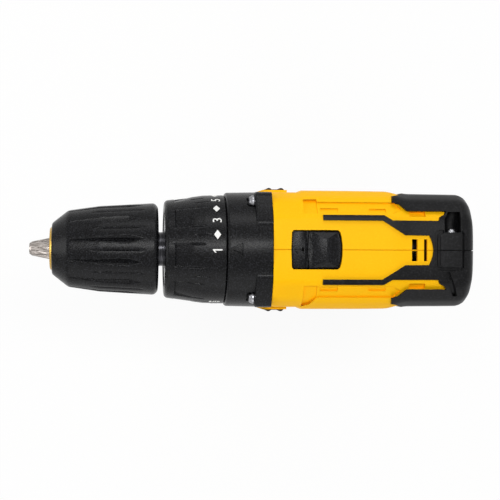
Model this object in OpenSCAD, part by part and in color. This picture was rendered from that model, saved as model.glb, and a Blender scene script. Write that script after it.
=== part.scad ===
// Cordless drill driver with a keyless chuck, a two-speed planetary gearbox and a slide-on battery.
// Frame: +Z up, the spindle lies along X with the chuck towards -X, and the battery stands on z = 0.
// The origin is the middle of the footprint of the whole tool.

/* [Heights] */
// Height of the spindle axis above the base of the battery
axis_h = 172; // [168:1:176]
// Height of the battery's top face, which the foot stands on
battery_h = 47; // [45:1:49]
// Height of the foot above the battery
foot_h = 17; // [16:1:19]

/* [Lengths along the spindle] */
// How far the closed jaws stand out of the chuck's nose
jaw_reach = 10.6; // [8:0.2:12]
// Length of the chuck sleeve
sleeve_len = 49.7; // [48.9:0.1:51]
// Gap between the chuck and the torque collar
chuck_gap = 3; // [2:0.1:4]
// Length of the torque collar
collar_len = 28.3; // [27.8:0.1:29.5]
// Length of the gear case between the collar and the body shells
case_len = 21.1; // [20.6:0.1:22]
// Room between the motor and the rear end, in the body's dome
rear_room = 18.8; // [18.4:0.1:23]

/* [Chuck] */
// Radius of the sleeve at its front edge
sleeve_r_front = 13; // [12.9:0.1:13.6]
// Radius of the sleeve behind its front cone
sleeve_r_shoulder = 18.1; // [17.6:0.1:19]
// Radius of the sleeve at its rear
sleeve_r_rear = 21.8; // [21:0.1:23]
// Length of the sleeve's front cone
sleeve_cone = 7.8; // [6:0.2:10]
// Radius of the steel chuck body inside the sleeve's front
chuck_core_r = 12; // [11.6:0.1:12.2]
// Radius of the steel chuck body inside the sleeve's rear
chuck_skirt_r = 18.3; // [18.1:0.1:18.6]
// Radius of the chuck's steel nose
nose_r = 9.1; // [8.6:0.1:9.6]
// Radius of one jaw
jaw_r = 3.6; // [3.3:0.1:3.7]
// Tilt of the jaws to the spindle
jaw_tilt = 14; // [13.5:0.1:14.4]
// Length of one jaw along the spindle
jaw_len = 34; // [30:1:36]
// Radius of the thinnest bit that the closed jaws hold
bit_r_min = 0.75; // [0.7:0.05:1]
// Radius of the widest bit that the open jaws hold
bit_r_max = 6.5; // [5.5:0.1:6.5]

/* [Spindle and clutch] */
// Radius of the spindle's threaded nose
spindle_r = 6.35; // [6.2:0.05:6.5]
// Radius of the spindle's bearing journal
journal_r = 6; // [5.6:0.1:6]
// Outer radius of the front ball bearing
bearing_r = 12; // [11.5:0.1:12.4]
// Wall of the gear case's neck
neck_wall = 3.4; // [3:0.1:3.6]
// Outer radius of the clutch nut
clutch_nut_r = 19.4; // [19:0.1:19.6]
// Travel of the clutch nut over the collar's whole turn
clutch_travel = 6; // [4:0.5:7]
// Wire radius of the clutch spring
clutch_wire_r = 1; // [0.8:0.1:1.2]
// Number of live coils of the clutch spring
clutch_coils = 5; // [4:1:6]
// Outer radius of the torque collar at its rear
collar_r = 25.9; // [25.4:0.1:26.4]
// Outer radius of the torque collar at its front edge
collar_r_front = 23.3; // [22.9:0.1:24]
// Number of finger pads round the torque collar
collar_pads = 8; // [6:1:10]

/* [Gearbox] */
// Module of the first stage
module_1 = 0.8; // [0.76:0.01:0.81]
// Module of the second and third stages
module_2 = 0.75; // [0.71:0.01:0.76]
// Width of the teeth in the first stage
face_1 = 5.6; // [5:0.1:6]
// Width of the planets in the second stage
face_2 = 5.2; // [4.6:0.1:5.4]
// Width of the teeth in the third stage
face_3 = 7.6; // [7.3:0.1:8]
// Thickness of each planet carrier's plate
carrier_t = 2.8; // [2.4:0.1:3]
// Radius of each planet carrier's plate
carrier_r = 15.6; // [15.2:0.1:16]
// Radius of the pins that the planets turn on
planet_pin_r = 2; // [1.6:0.1:2.2]
// Travel of the speed selector between its two gears
shift_travel = 7.4; // [6:0.2:7.6]

/* [Motor] */
// Outer radius of the motor can
motor_r = 18.9; // [18:0.1:19.2]
// Length of the motor can
motor_len = 57; // [55:0.5:58]
// Radius of the motor shaft
motor_shaft_r = 2.5; // [2:0.1:3]
// Wall of the motor can
motor_wall = 1.6; // [1.2:0.1:1.8]
// Air gap between the armature and the magnets
air_gap = 0.5; // [0.4:0.1:0.8]

/* [Body] */
// Distance from the gear case's screws to the flank of the body shells
screw_cover = 5.8; // [5.4:0.1:6.8]
// Height of the body's top above the spindle axis
body_top = 27.6; // [27.5:0.1:28.4]
// Depth of the body's underside below the spindle axis
body_bottom = 27.4; // [27:0.1:29]
// Wall of the body shells
wall = 2.4; // [2.1:0.1:2.5]
// Thickness of the moulded rubber grips
grip_t = 1.1; // [0.8:0.1:1.3]
// Half width of the handle at its middle
handle_w = 16.6; // [16.2:0.1:18]
// Half length of the handle at its middle
handle_a = 20.2; // [19.6:0.1:21.4]
// Radius of the gear case where it meets the body
case_r = 27.4; // [27.1:0.1:28]
// Radius of the shell screws' shanks
shell_screw_r = 1.5; // [1.3:0.1:1.7]
// Radius of the screws that hold the gear case
case_screw_r = 1.6; // [1.5:0.1:1.7]

/* [Controls] */
// Travel of the trigger
trigger_travel = 6.5; // [5:0.5:7]
// Half width of the trigger
trigger_w = 8.6; // [8:0.1:9.4]
// Travel of the direction lever to each side
direction_travel = 3; // [2:0.5:3.5]
// Half width of the speed selector
selector_w = 8.7; // [8:0.1:9.2]
// Length of the selector's thumb grip
selector_grip = 15.9; // [14:0.1:17]

/* [Battery] */
// Length of the battery
battery_len = 100; // [98:1:104]
// Wall of the battery case
battery_wall = 2; // [1.6:0.1:2.2]
// Room between the outer cells and the case's side walls
cell_room = 0.65; // [0.4:0.05:1.6]
// Radius of one cell
cell_r = 9.2; // [9:0.1:9.3]
// Length of one cell
cell_len = 65.2; // [64:0.1:66]
// Travel of the battery on its rails
battery_travel = 80; // [60:1:90]
// Travel of the battery's release latch
latch_travel = 3; // [2:0.5:3.5]
// Radius of the threaded holes for a belt hook
hook_hole_r = 1.65; // [1.5:0.05:2]

/* [Hidden] */
$fn = 64;

// Running clearance between pieces that turn or slide, and the hair of room between fixed pieces
run = 0.3;
fit = 0.1;
big = 400;

// Thicknesses in the gear train, from the gear case's front wall to the motor, and its whole length
case_wall_t = 3.5;
carrier_3_t = 3.4;
side_gap = 0.3;
wall_gap = 0.4;
ring_stop = 0.5;
ring_2_len = face_2 + shift_travel + 0.4;
ring_gap = 0.6;
motor_plate_t = 2.4;
gearbox_len = case_wall_t + wall_gap + carrier_3_t + side_gap + face_3 + ring_stop + run + shift_travel + ring_2_len
    + ring_gap + face_1 + ring_stop + motor_plate_t + fit;
body_len = gearbox_len + motor_len + rear_room - case_len;

// Where the gear case's four screws stand beside the spindle, and the body's half width outside them
lug_y = 22.4;
lug_z = 16;
body_w = lug_y + screw_cover;

// Half width of the battery, which its lower row of three cells sets
cell_pitch = 2 * cell_r + 0.1;
battery_w = 1.5 * cell_pitch + battery_wall + cell_room;

// Stations along X, counted from the jaws' tips so that the tool's middle is at x = 0
overall = jaw_reach + sleeve_len + chuck_gap + collar_len + run + case_len + body_len;
x_tip = -overall / 2;
x_nose = x_tip + jaw_reach;
x_sleeve = x_nose + sleeve_len;
x_collar = x_sleeve + chuck_gap;
x_case = x_collar + collar_len + run;
x_body = x_case + case_len;
x_rear = x_body + body_len;
nose_proud = 1;

// The chuck's inner stations, and the jaws' stroke
nut_x0 = x_nose + 17;
nut_len = 7;
thrust_len = 2.4;
skirt_x0 = nut_x0 + nut_len + thrust_len + 0.4;
chuck_back = x_sleeve - 1.2;
jaw_bore_clear = 0.1;
jaw_stroke = (bit_r_max - bit_r_min) / sin(jaw_tilt);
jaw_axis_drop = jaw_r - 2.9;
jaw_gap = 0.12;

// The clutch and the gearbox, from the front wall of the gear case to the motor
neck_r = bearing_r + neck_wall;
case_in_r = 21;
case_tail_r = 23.4;
bearing_len = 6;
bearing_x0 = x_collar + 1.6;
clutch_nut_len = 4.4;
clutch_nut_x0 = x_collar + 3.5;
lip_x0 = x_collar + 1.9;
pin_circle_r = 18.4;
clutch_pin_r = 1.4;
washer_t = 1.2;
addendum = 0.8;
dedendum = 1.15;
pressure = 25;
backlash = 0.09;
teeth_sun_1 = 15;
teeth_planet_1 = 15;
teeth_ring_1 = teeth_sun_1 + 2 * teeth_planet_1;
teeth_sun_2 = 18;
teeth_planet_2 = 15;
teeth_ring_2 = teeth_sun_2 + 2 * teeth_planet_2;
orbit_1 = module_1 * (teeth_sun_1 + teeth_planet_1) / 2;
orbit_2 = module_2 * (teeth_sun_2 + teeth_planet_2) / 2;
planets = 3;
ring_r = 20.7;
x_carrier_3 = x_case + case_wall_t + wall_gap;
x_planet_3 = x_carrier_3 + carrier_3_t + side_gap;
x_ring_3_end = x_planet_3 + face_3 + ring_stop;
x_ring_2 = x_ring_3_end + run + shift_travel;
x_planet_2 = x_ring_2 + 0.3;
x_carrier_2 = x_planet_2 - side_gap - carrier_t;
x_planet_1 = x_ring_2 + ring_2_len + ring_gap;
x_carrier_1 = x_planet_1 - side_gap - carrier_t;
x_ring_1 = x_planet_1 - 0.2;
x_motor_plate = x_planet_1 + face_1 + ring_stop;
x_motor = x_motor_plate + motor_plate_t + fit;
x_motor_end = x_motor + motor_len;
fork_x = x_ring_2 + ring_2_len / 2;
fork_t = 1.6;
fork_groove_r = 19.5;

// The motor's inside
magnet_t = 4;
magnet_r = motor_r - motor_wall - fit;
armature_r = magnet_r - magnet_t - air_gap;
core_len = 26;
core_x0 = x_motor + 9;
commutator_r = 6;
commutator_x0 = core_x0 + core_len + 3.4;
commutator_len = 9;
fan_x0 = x_motor + 2.2;
fan_len = 3.7;
motor_end_t = 2.4;

// The body's lofts. Each station of the barrel is [share of the length, half width, top, bottom].
seam = 0.05;
rear_skin = grip_t;
barrel_shares = [
    [0, 0.955, 0.965, 0.93], [0.04, 0.967, 0.985, 0.97], [0.135, 0.967, 1, 1], [0.152, 1, 1, 1],
    [0.33, 1, 1.005, 1],
    [0.55, 0.995, 1.0, 1], [0.66, 0.918, 0.975, 0.985], [0.9, 0.91, 0.935, 0.95]
];
// The dome that closes the barrel: [distance from the rear end, half width, top, bottom]
dome = [[6.2, 0.846, 0.82, 0.86], [4.5, 0.766, 0.64, 0.76], [1.6, 0.51, 0.27, 0.5], [0.4, 0.3, 0.11, 0.3],
    [0, 0.12, 0.05, 0.12]];
// Corners of half a barrel section, from the top to the bottom, as shares of half width and height
section_corners = [
    [0.3, 1, 1], [0.57, 0.975, 1], [0.86, 0.75, 1], [1, 0.46, 1], [1, 0.36, -1], [0.84, 0.8, -1], [0.42, 0.985, -1]
];
corner_share = 0.3;
corner_steps = 2;

// The handle, from its top inside the barrel to the foot: [height, centre x, half length, half width]
handle_top = axis_h - body_bottom + 12;
foot_z = battery_h + 0.4;
foot_top = foot_z + foot_h;
battery_x0 = x_body - 11;
battery_mid = battery_x0 + battery_len / 2;
handle_x = x_body + 45.5;
handle_rake = 9;
foot_a = battery_len / 2 - 3.4;
foot_w = battery_w - 1;
handle_stations = [
    [handle_top, handle_x + 1, handle_a + 5.4, handle_w + 3.4],
    [handle_top - 12, handle_x + 1, handle_a + 3.6, handle_w + 2],
    [handle_top - 22, handle_x + 1.6, handle_a + 0.6, handle_w + 0.5],
    [(handle_top + foot_top) / 2, handle_x + handle_rake * 0.5, handle_a, handle_w],
    [foot_top + 16, handle_x + handle_rake * 0.95, handle_a + 0.6, handle_w + 0.6],
    [foot_top + 7, handle_x + handle_rake * 0.9, handle_a + 3.4, handle_w + 2.4],
    [foot_top, handle_x + handle_rake * 0.5, handle_a + 11, handle_w + 6.4]
];
foot_stations = [
    [foot_top + 0.2, handle_x + handle_rake * 0.5, handle_a + 11, handle_w + 6.6],
    [foot_top - 4, battery_mid + 1, foot_a - 6, foot_w - 2.4],
    [foot_top - 8, battery_mid, foot_a, foot_w],
    [foot_z, battery_mid, foot_a, foot_w]
];

// The trigger, the direction lever and the lamp
trigger_z1 = handle_top - 23;
trigger_z0 = trigger_z1 - 30;
trigger_x0 = handle_x - handle_a - 14;
switch_x0 = handle_x - handle_a + trigger_travel + 0.5;
switch_len = 24;
lever_x = handle_x - handle_a + 10;
lever_z = handle_top - 17.4;
lever_h = 7;
lever_len = 15;
lever_out = 4.2;
chin_z = axis_h - body_bottom - 8.5;
chin_x0 = x_body + 6;
lamp_z = chin_z + 4.8;
lamp_r = 3;

// The speed selector, in its window on top of the body
window_x0 = x_body + 8.3;
window_len = selector_grip + shift_travel + 0.3;
window_w = selector_w + 0.4;
selector_z = axis_h + case_tail_r + 0.35;
selector_t = 0.9;
selector_proud = 1.9;

// The battery rails and cells
rail_w = battery_w - 12;
rail_neck_w = rail_w - 3.2;
rail_h = 7;
rail_lip = 3;
rail_x0 = battery_x0 + 13;
rail_len = battery_len - 30;
lid_h = 12;
cell_x0 = battery_x0 + battery_wall + 11;
latch_x0 = battery_x0 + battery_len - 15;
latch_w = 9;
latch_len = 11.5;

// The well over the rear screw, which opens upwards
well_x = x_body + 84;

// Where the shell screws go: [x, z]
shell_screw_at = [
    [well_x, axis_h + motor_r + 3.9], [x_rear - 11.5, axis_h - 15], [x_motor_end + 1.5, axis_h - 22.2],
    [handle_x + handle_a - 5.6, handle_top - 21], [handle_x + handle_rake * 0.5 + 3, trigger_z0 - 5],
    [handle_x + handle_rake + 8, foot_top + 10], [battery_mid - foot_a + 4.8, foot_z + 4.6],
    [battery_mid + foot_a - 10, foot_top - 4.8]
];
screw_head_r = 2.9;
screw_head_t = 2.2;
head_seat_y = 8;
screw_reach = 7;

// Colours
YELLOW = "#f6b40f";
BLACK = "#232426";
RUBBER = "#2b2b2d";
STEEL = "#a9a6a4";
DARK_STEEL = "#5a5a5c";
BRASS = "#c79a4b";
COPPER = "#b0652e";
WHITE = "#e8e8e4";

// ---------- helpers ----------

// Puts children, drawn along +Z, along the spindle axis from x towards +X
module along_x(x) {
    translate([x, 0, axis_h]) rotate([0, 90, 0]) children();
}

// A solid round bar on the spindle axis
module rod(x0, x1, r) {
    along_x(x0) cylinder(h = x1 - x0, r = r);
}

// A round tube on the spindle axis
module tube(x0, x1, r_out, r_in) {
    along_x(x0) difference() {
        cylinder(h = x1 - x0, r = r_out);
        translate([0, 0, -1]) cylinder(h = x1 - x0 + 2, r = r_in);
    }
}

// A turned shape on the spindle axis, from points [x, r]
module turned(points) {
    along_x(0) rotate_extrude($fn = 96) polygon([for (p = points) [p[1], p[0]]]);
}

// Copies children round the spindle axis
module round_axis(count, first = 0) {
    for (i = [0 : count - 1])
        translate([0, 0, axis_h]) rotate([first + i * 360 / count, 0, 0]) translate([0, 0, -axis_h]) children();
}

// A box from its lowest corner to its highest
module block(low, high) {
    translate(low) cube(high - low);
}

// An upright rounded plate, centred at [x, y], from z0 to z1
module pad(x, y, a, b, r, z0, z1) {
    hull() for (i = [-1, 1], j = [-1, 1])
        translate([x + i * (a - r), y + j * (b - r), z0]) cylinder(h = z1 - z0, r = r, $fn = 24);
}

// A round-ended slot between two points, cut upwards or sideways
module slot(a, b, r, deep, way) {
    hull() for (p = [a, b]) translate(p) rotate(way[0] * [90, 0, 0])
        cylinder(h = deep, r = r, center = true, $fn = 16);
}

// Involute helpers: the angle at which an involute from base radius rb reaches radius r
function inv_at(rb, r) = r <= rb ? 0 : sqrt(pow(r / rb, 2) - 1) * 180 / PI - acos(rb / r);

// The outline of a spur gear. shrink thins each tooth, and a negative value widens it.
function gear_outline(teeth, m, add, ded, shrink) =
    let (
        rp = teeth * m / 2,
        rb = rp * cos(pressure),
        ra = rp + add * m,
        rr = rp - ded * m,
        half = 90 / teeth - shrink / rp * 90 / PI + inv_at(rb, rp),
        steps = 4,
        radii = [for (i = [0 : steps]) max(rr, rb) + (ra - max(rr, rb)) * i / steps]
    )
    [for (t = [0 : teeth - 1]) let (c = t * 360 / teeth) each concat(
        [[rr * cos(c - half), rr * sin(c - half)]],
        [for (r = radii) let (a = c - half + inv_at(rb, r)) [r * cos(a), r * sin(a)]],
        [for (i = [steps : -1 : 0]) let (r = radii[i], a = c + half - inv_at(rb, r)) [r * cos(a), r * sin(a)]],
        [[rr * cos(c + half), rr * sin(c + half)]]
    )];

// A spur gear drawn along +Z
module spur(teeth, m, h, bore) {
    difference() {
        linear_extrude(h) polygon(gear_outline(teeth, m, addendum, dedendum, backlash));
        translate([0, 0, -1]) cylinder(h = h + 2, r = bore);
    }
}

// An internal ring gear on the spindle axis
module ring_gear(teeth, m, x0, x1, r_out) {
    along_x(x0) linear_extrude(x1 - x0) difference() {
        circle(r = r_out, $fn = 96);
        polygon(gear_outline(teeth, m, dedendum, addendum, -backlash));
    }
}

// One planet, at its place on its orbit
module planet(teeth, ring_teeth, m, orbit, x0, face, index) {
    angle = index * 360 / planets;
    along_x(x0) rotate([0, 0, angle]) translate([orbit, 0, 0]) rotate([0, 0, -angle * ring_teeth / teeth])
        spur(teeth, m, face, planet_pin_r + 0.06);
}

// A carrier plate with its planet pins, which reach towards +X
module carrier(x0, thickness, orbit, face, keeper) {
    rod(x0, x0 + thickness, carrier_r);
    for (i = [0 : planets - 1])
        along_x(x0 + thickness - 0.5) rotate([0, 0, i * 360 / planets]) translate([orbit, 0, 0])
            cylinder(h = 0.5 + side_gap + face + (keeper ? side_gap + 0.9 : 0), r = planet_pin_r);
    // the ring that keeps the planets on their pins
    keeper_x = x0 + thickness + 2 * side_gap + face;
    if (keeper) tube(keeper_x, keeper_x + 1, carrier_r - 0.6, 9);
}

// A round-wire helix swept along +Z, with its ends left square
module coil_spring(r, wire, turns, h) {
    per_turn = 16;
    sides = 8;
    n = turns * per_turn;
    rise = (h - 2 * wire) / n;
    points = [for (i = [0 : n], k = [0 : sides - 1])
        let (a = i * 360 / per_turn, b = k * 360 / sides, rr = r + wire * cos(b))
        [rr * cos(a), rr * sin(a), wire + i * rise + wire * sin(b)]];
    walls = [for (i = [0 : n - 1], k = [0 : sides - 1])
        let (k2 = (k + 1) % sides) each [
            [i * sides + k, (i + 1) * sides + k2, (i + 1) * sides + k],
            [i * sides + k, i * sides + k2, (i + 1) * sides + k2]
        ]];
    polyhedron(points, concat(walls, [[for (k = [sides - 1 : -1 : 0]) k]],
        [[for (k = [0 : sides - 1]) n * sides + k]]), convexity = 8);
}

// Cuts each corner of a closed outline with a short curve
function rounded(corners, share, steps) =
    let (n = len(corners))
    [for (i = [0 : n - 1])
        let (
            p = corners[i],
            a = p + (corners[(i + n - 1) % n] - p) * share,
            b = p + (corners[(i + 1) % n] - p) * share
        )
        for (k = [0 : steps]) let (t = k / steps)
            pow(1 - t, 2) * a + 2 * t * (1 - t) * p + t * t * b];

// A closed solid through a list of rings, each a list of points of one length
module loft(rings) {
    n = len(rings[0]);
    m = len(rings);
    points = [for (ring = rings) each ring];
    walls = [for (j = [0 : m - 2], i = [0 : n - 1]) let (i2 = (i + 1) % n) each [
        [j * n + i, j * n + i2, (j + 1) * n + i2],
        [j * n + i, (j + 1) * n + i2, (j + 1) * n + i]
    ]];
    polyhedron(points, concat(walls, [[for (i = [n - 1 : -1 : 0]) i]],
        [[for (i = [0 : n - 1]) (m - 1) * n + i]]), convexity = 10);
}

// ---------- body surface ----------

// One section of the barrel at x, grown by off
function barrel_ring(x, w, top, bottom, off) =
    let (
        half = [for (c = section_corners) [c[0] * w + (c[0] > 0.5 ? off : 0),
            c[2] > 0 ? c[1] * top + off : -c[1] * bottom - off]],
        corners = concat(half, [for (i = [len(half) - 1 : -1 : 0]) [-half[i][0], half[i][1]]])
    )
    [for (p = rounded(corners, corner_share, corner_steps)) [x, p[0], axis_h + p[1]]];

// The barrel's outer surface, moved outwards by off; inside, its end is left flat
module barrel(off = 0, front = 0) {
    span = body_len - rear_skin;
    rings = concat(
        [for (s = barrel_shares) barrel_ring(x_body + s[0] * span - (s[0] == 0 ? front : 0),
            s[1] * body_w, s[2] * body_top, s[3] * body_bottom, off)],
        [for (d = dome) if (off >= 0 || d[0] > 1) barrel_ring(x_rear - rear_skin - d[0] + off, d[1] * body_w,
            d[2] * body_top, d[3] * body_bottom, off)]
    );
    loft(rings);
}

// One level section of the handle or foot, as a rounded rectangle
function level_ring(z, x, a, b, off) =
    let (aa = a + off, bb = b + off, corners = [
        [aa, bb * 0.5], [aa * 0.8, bb], [-aa * 0.72, bb], [-aa, bb * 0.4],
        [-aa, -bb * 0.4], [-aa * 0.72, -bb], [aa * 0.8, -bb], [aa, -bb * 0.5]
    ])
    [for (p = rounded(corners, 0.36, 4)) [x + p[0], p[1], z]];

function foot_ring(z, x, a, b, off) =
    let (aa = a + off, bb = b + off, c = 7, corners = [
        [aa, bb - c], [aa - c, bb], [-aa + c + 4, bb], [-aa, bb - c - 4],
        [-aa, -bb + c + 4], [-aa + c + 4, -bb], [aa - c, -bb], [aa, -bb + c]
    ])
    [for (p = rounded(corners, 0.3, 3)) [x + p[0], p[1], z]];

module handle(off = 0) {
    loft([for (s = handle_stations) level_ring(s[0], s[1], s[2], s[3], off)]);
}

module foot(off = 0) {
    loft([for (s = foot_stations) foot_ring(s[0] + (s[0] == foot_z ? min(0, -off) : off), s[1], s[2], s[3], off)]);
}

// The chin under the barrel's front, which carries the lamp and covers the trigger's top
module chin(off = 0) {
    hull() {
        block([chin_x0 - off, -9 - off, chin_z + 2 - off], [handle_x - 10, 9 + off, axis_h - 14]);
        block([chin_x0 + 4 - off, -7.4 - off, chin_z - off], [handle_x - 10, 7.4 + off, axis_h - 14]);
    }
    hull() {
        block([chin_x0 + 12, -12.6 - off, chin_z + 6 - off], [handle_x - 10, 12.6 + off, axis_h - 14]);
        block([handle_x - 14, -15 - off, chin_z - 2], [handle_x - 10, 15 + off, axis_h - 14]);
    }
}

// The ears on both flanks
module ears() {
    for (side = [-1, 1]) mirror([0, side < 0 ? 1 : 0, 0]) {
        hull() {
            block([x_body - ear_len, ear_y, axis_h + bumper_z0 + 2],
                [x_body + 1, ear_y + 0.6, axis_h + bumper_z1 - 2]);
            block([x_body - ear_len + 2.4, ear_y, axis_h + bumper_z0 - 0.7],
                [x_body + 1, body_w + 0.2, axis_h + bumper_z1 + 0.7]);
        }
        block([x_body + 0.1, bumper_y - 0.8, axis_h + bumper_z0 - 0.7],
            [bumper_x0 + bumper_len + 1.2, body_w + 0.2, axis_h + bumper_z1 + 0.7]);
    }
}

// One bumper's room: a plug behind the body's front edge, and a plate that reaches forward over the ear
module bumper_room(off) {
    block([x_body + 0.9 - off, bumper_y - off, axis_h + bumper_z0 - off],
        [bumper_x0 + bumper_len + off, body_w + 4, axis_h + bumper_z1 + off]);
    block([bumper_x0 - off, bumper_floor - off, axis_h + bumper_z0 - off],
        [x_body + 1, body_w + 4, axis_h + bumper_z1 + off]);
}

module body_outer(off = 0) {
    barrel(off);
    handle(off);
    foot(off);
    chin(off);
}

// The room inside the shells
module body_inner() {
    barrel(-wall, 8);
    handle(-wall);
    intersection() {
        foot(-wall);
        block([-big, -big, foot_z + rail_h + wall + 0.8], [big, big, big]);
    }
    chin(-wall);
}

// ---------- chuck ----------

module chuck_sleeve() {
    color(BLACK) difference() {
        turned([
            [x_nose, sleeve_r_front - 0.6], [x_nose + 0.6, sleeve_r_front],
            [x_nose + sleeve_cone, sleeve_r_shoulder], [x_nose + sleeve_cone + 14.6, sleeve_r_shoulder + 2.1],
            [x_sleeve - 2, sleeve_r_rear], [x_sleeve, sleeve_r_rear - 1.6], [x_sleeve, chuck_skirt_r + run + 0.3],
            [skirt_x0 - run, chuck_skirt_r + run], [skirt_x0 - run, chuck_nut_r], [nut_x0, chuck_nut_r],
            [nut_x0, chuck_core_r + run], [x_nose + 1.4, chuck_core_r + run], [x_nose + 1.4, nose_r + 1.8],
            [x_nose, nose_r + 1.8]
        ]);
        // twelve tapered finger flutes, each with a kite-shaped end
        round_axis(12, 15) {
            translate([x_nose + 9, 0, axis_h + sleeve_r_shoulder + 1]) rotate([0, 90 - 5.4, 0])
                cylinder(h = sleeve_len - 19, r1 = 0.5, r2 = 1.5, $fn = 24);
            translate([x_nose + 9 + sleeve_len - 19.2, 0, axis_h + sleeve_r_rear + 0.6]) rotate([0, 90, 0])
                cylinder(h = 7, r1 = 1.5, r2 = 0.2, $fn = 24);
        }
    }
}
chuck_nut_r = 16;

module chuck_body() {
    color(DARK_STEEL) difference() {
        turned([
            [x_nose - nose_proud + 0.5, 0], [x_nose - nose_proud + 0.5, nose_r - 0.6], [x_nose, nose_r],
            [x_nose + 2, nose_r], [x_nose + 2, chuck_core_r], [skirt_x0, chuck_core_r],
            [skirt_x0, chuck_skirt_r], [chuck_back, chuck_skirt_r], [chuck_back, 0]
        ]);
        // room for the bit, and the threaded socket for the spindle
        rod(x_nose - 5, x_nose + 36, bit_r_max + 0.2);
        rod(x_nose + 30, x_sleeve + 1, spindle_r);
        for (i = [1 : 3]) jaw_path(i, jaw_r + jaw_bore_clear);
    }
}

// The round path that one jaw slides in
module jaw_path(index, r) {
    translate([x_tip, 0, axis_h]) rotate([(index - 1) * 120, 0, 0]) translate([0, 0, -jaw_axis_drop])
        rotate([0, 90 - jaw_tilt, 0]) translate([0, 0, -20]) cylinder(h = 140, r = r);
}

// One jaw: an inclined pin, ground to a wedge that meets the other two on the spindle axis
module jaw(index) {
    color(STEEL) difference() {
        intersection() {
            jaw_path(index, jaw_r);
            block([x_tip, -big, 0], [x_tip + jaw_len, big, big]);
            translate([0, 0, axis_h]) rotate([(index - 1) * 120, 0, 0]) rotate([0, 90, 0])
                translate([0, 0, x_tip - 1]) linear_extrude(jaw_len + 2)
                    polygon([[-jaw_gap / 2 * 2 / sqrt(3), 0], [-30, 30 * sqrt(3)], [-60, 0], [-30, -30 * sqrt(3)]]);
            turned([[x_tip, 0], [x_tip, 2.5], [x_tip + 0.9, 3.1], [x_tip + 5, 9], [x_tip + 60, 30],
                [x_tip + 60, 0]]);
        }
        rod(x_tip - 1, x_tip + jaw_len + 1, bit_r_min);
        // thread segments on the outer side, which the nut drives
        for (k = [0 : 8]) let (x = x_tip + 15 + k * 1.9)
            translate([0, 0, axis_h]) rotate([(index - 1) * 120, 0, 0])
                block([x, -big, (x - x_tip) * tan(jaw_tilt) + jaw_r - jaw_axis_drop - 0.75], [x + 0.9, big, big]);
    }
}

module nose_ring() {
    color(BRASS) turned([
        [x_nose - nose_proud, nose_r + 0.4], [x_nose - nose_proud, bit_r_max + 0.5],
        [x_nose - nose_proud + 0.4, bit_r_max + 0.5], [x_nose - nose_proud + 0.4, nose_r - 0.5],
        [x_nose + 0.1, nose_r + fit], [x_nose + 0.1, nose_r + 1.5], [x_nose - 0.4, nose_r + 1.5]
    ]);
}

module chuck_nut() {
    color(STEEL) tube(nut_x0 + fit, nut_x0 + nut_len, chuck_nut_r - 0.02, chuck_core_r + 0.15);
}

module chuck_bearing() {
    color(STEEL) {
        tube(nut_x0 + nut_len + run, nut_x0 + nut_len + 1, chuck_nut_r - 0.4, chuck_core_r + 0.2);
        round_axis(20) translate([nut_x0 + nut_len + 1.75, 0, axis_h + (chuck_core_r + chuck_nut_r) / 2])
            sphere(r = 0.74, $fn = 16);
    }
}

// ---------- spindle and clutch ----------

module spindle() {
    hub_r = 8.1;
    color(DARK_STEEL) union() {
        turned([
            [x_nose + 33, 0], [x_nose + 33, spindle_r - 1], [x_nose + 34, spindle_r - 0.15],
            [chuck_back, spindle_r - 0.15], [chuck_back, hub_r], [x_collar + 1.6, hub_r],
            [bearing_x0, journal_r], [x_carrier_3 - 0.1, journal_r], [x_carrier_3 - 0.1, 0]
        ]);
        // flats that the last carrier drives
        rod(x_carrier_3 - 0.2, x_carrier_3 + carrier_3_t - 0.2, journal_r - 1);
    }
}

module front_bearing() {
    x1 = bearing_x0 + bearing_len;
    color(STEEL) {
        tube(bearing_x0, x1, bearing_r, bearing_r - 2);
        tube(bearing_x0, x1, journal_r + 2, journal_r + 0.05);
        round_axis(9) translate([(bearing_x0 + x1) / 2, 0, axis_h + (bearing_r + journal_r) / 2])
            sphere(r = (bearing_r - journal_r - 4) / 2 - 0.02, $fn = 24);
    }
}

module torque_collar() {
    color(BLACK) difference() {
        turned([
            [x_collar, neck_r + 2.5], [x_collar, collar_r_front - 1], [x_collar + 1, collar_r_front],
            [x_collar + 18.5, collar_r - 0.1], [x_collar + collar_len, collar_r],
            [x_collar + collar_len, clutch_nut_r + 1.4], [lip_x0 + 1.2, clutch_nut_r + run],
            [lip_x0 + 1.2, neck_r + run + 0.1], [lip_x0, neck_r + run + 0.1], [lip_x0, neck_r + 2.5]
        ]);
        // finger pads round the front half
        for (i = [0 : collar_pads - 1])
            round_axis(1, -8.4 + i * 360 / collar_pads)
                translate([x_collar + 4.6, 0, axis_h + collar_r_front - 0.1]) rotate([0, -8, 0])
                    block([0, -5, 0], [10, 5, 6]);
    }
}

// The ring that keeps the collar on the gear case's neck
module collar_retainer() {
    color(DARK_STEEL) tube(x_collar + 0.4, bearing_x0, neck_r + 2.1, hub_clear_r);
}
hub_clear_r = 9;

module clutch_nut() {
    color(DARK_STEEL) difference() {
        tube(clutch_nut_x0, clutch_nut_x0 + clutch_nut_len, clutch_nut_r, neck_r + run);
        // the keyways that ride on the neck's three keys
        round_axis(3) block([clutch_nut_x0 - 1, -key_w - run, axis_h + neck_r - 1],
            [clutch_nut_x0 + clutch_nut_len + 1, key_w + run, axis_h + neck_r + key_t + run]);
    }
}

key_w = 1.4;
key_t = 0.7;
spring_x0 = clutch_nut_x0 + clutch_nut_len + 0.1;
washer_x0 = x_case - washer_t - 0.5;
module clutch_spring() {
    color(STEEL) along_x(spring_x0)
        coil_spring((neck_r + clutch_nut_r) / 2 + 0.25, clutch_wire_r, clutch_coils, washer_x0 - spring_x0 - 0.1);
}

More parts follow.
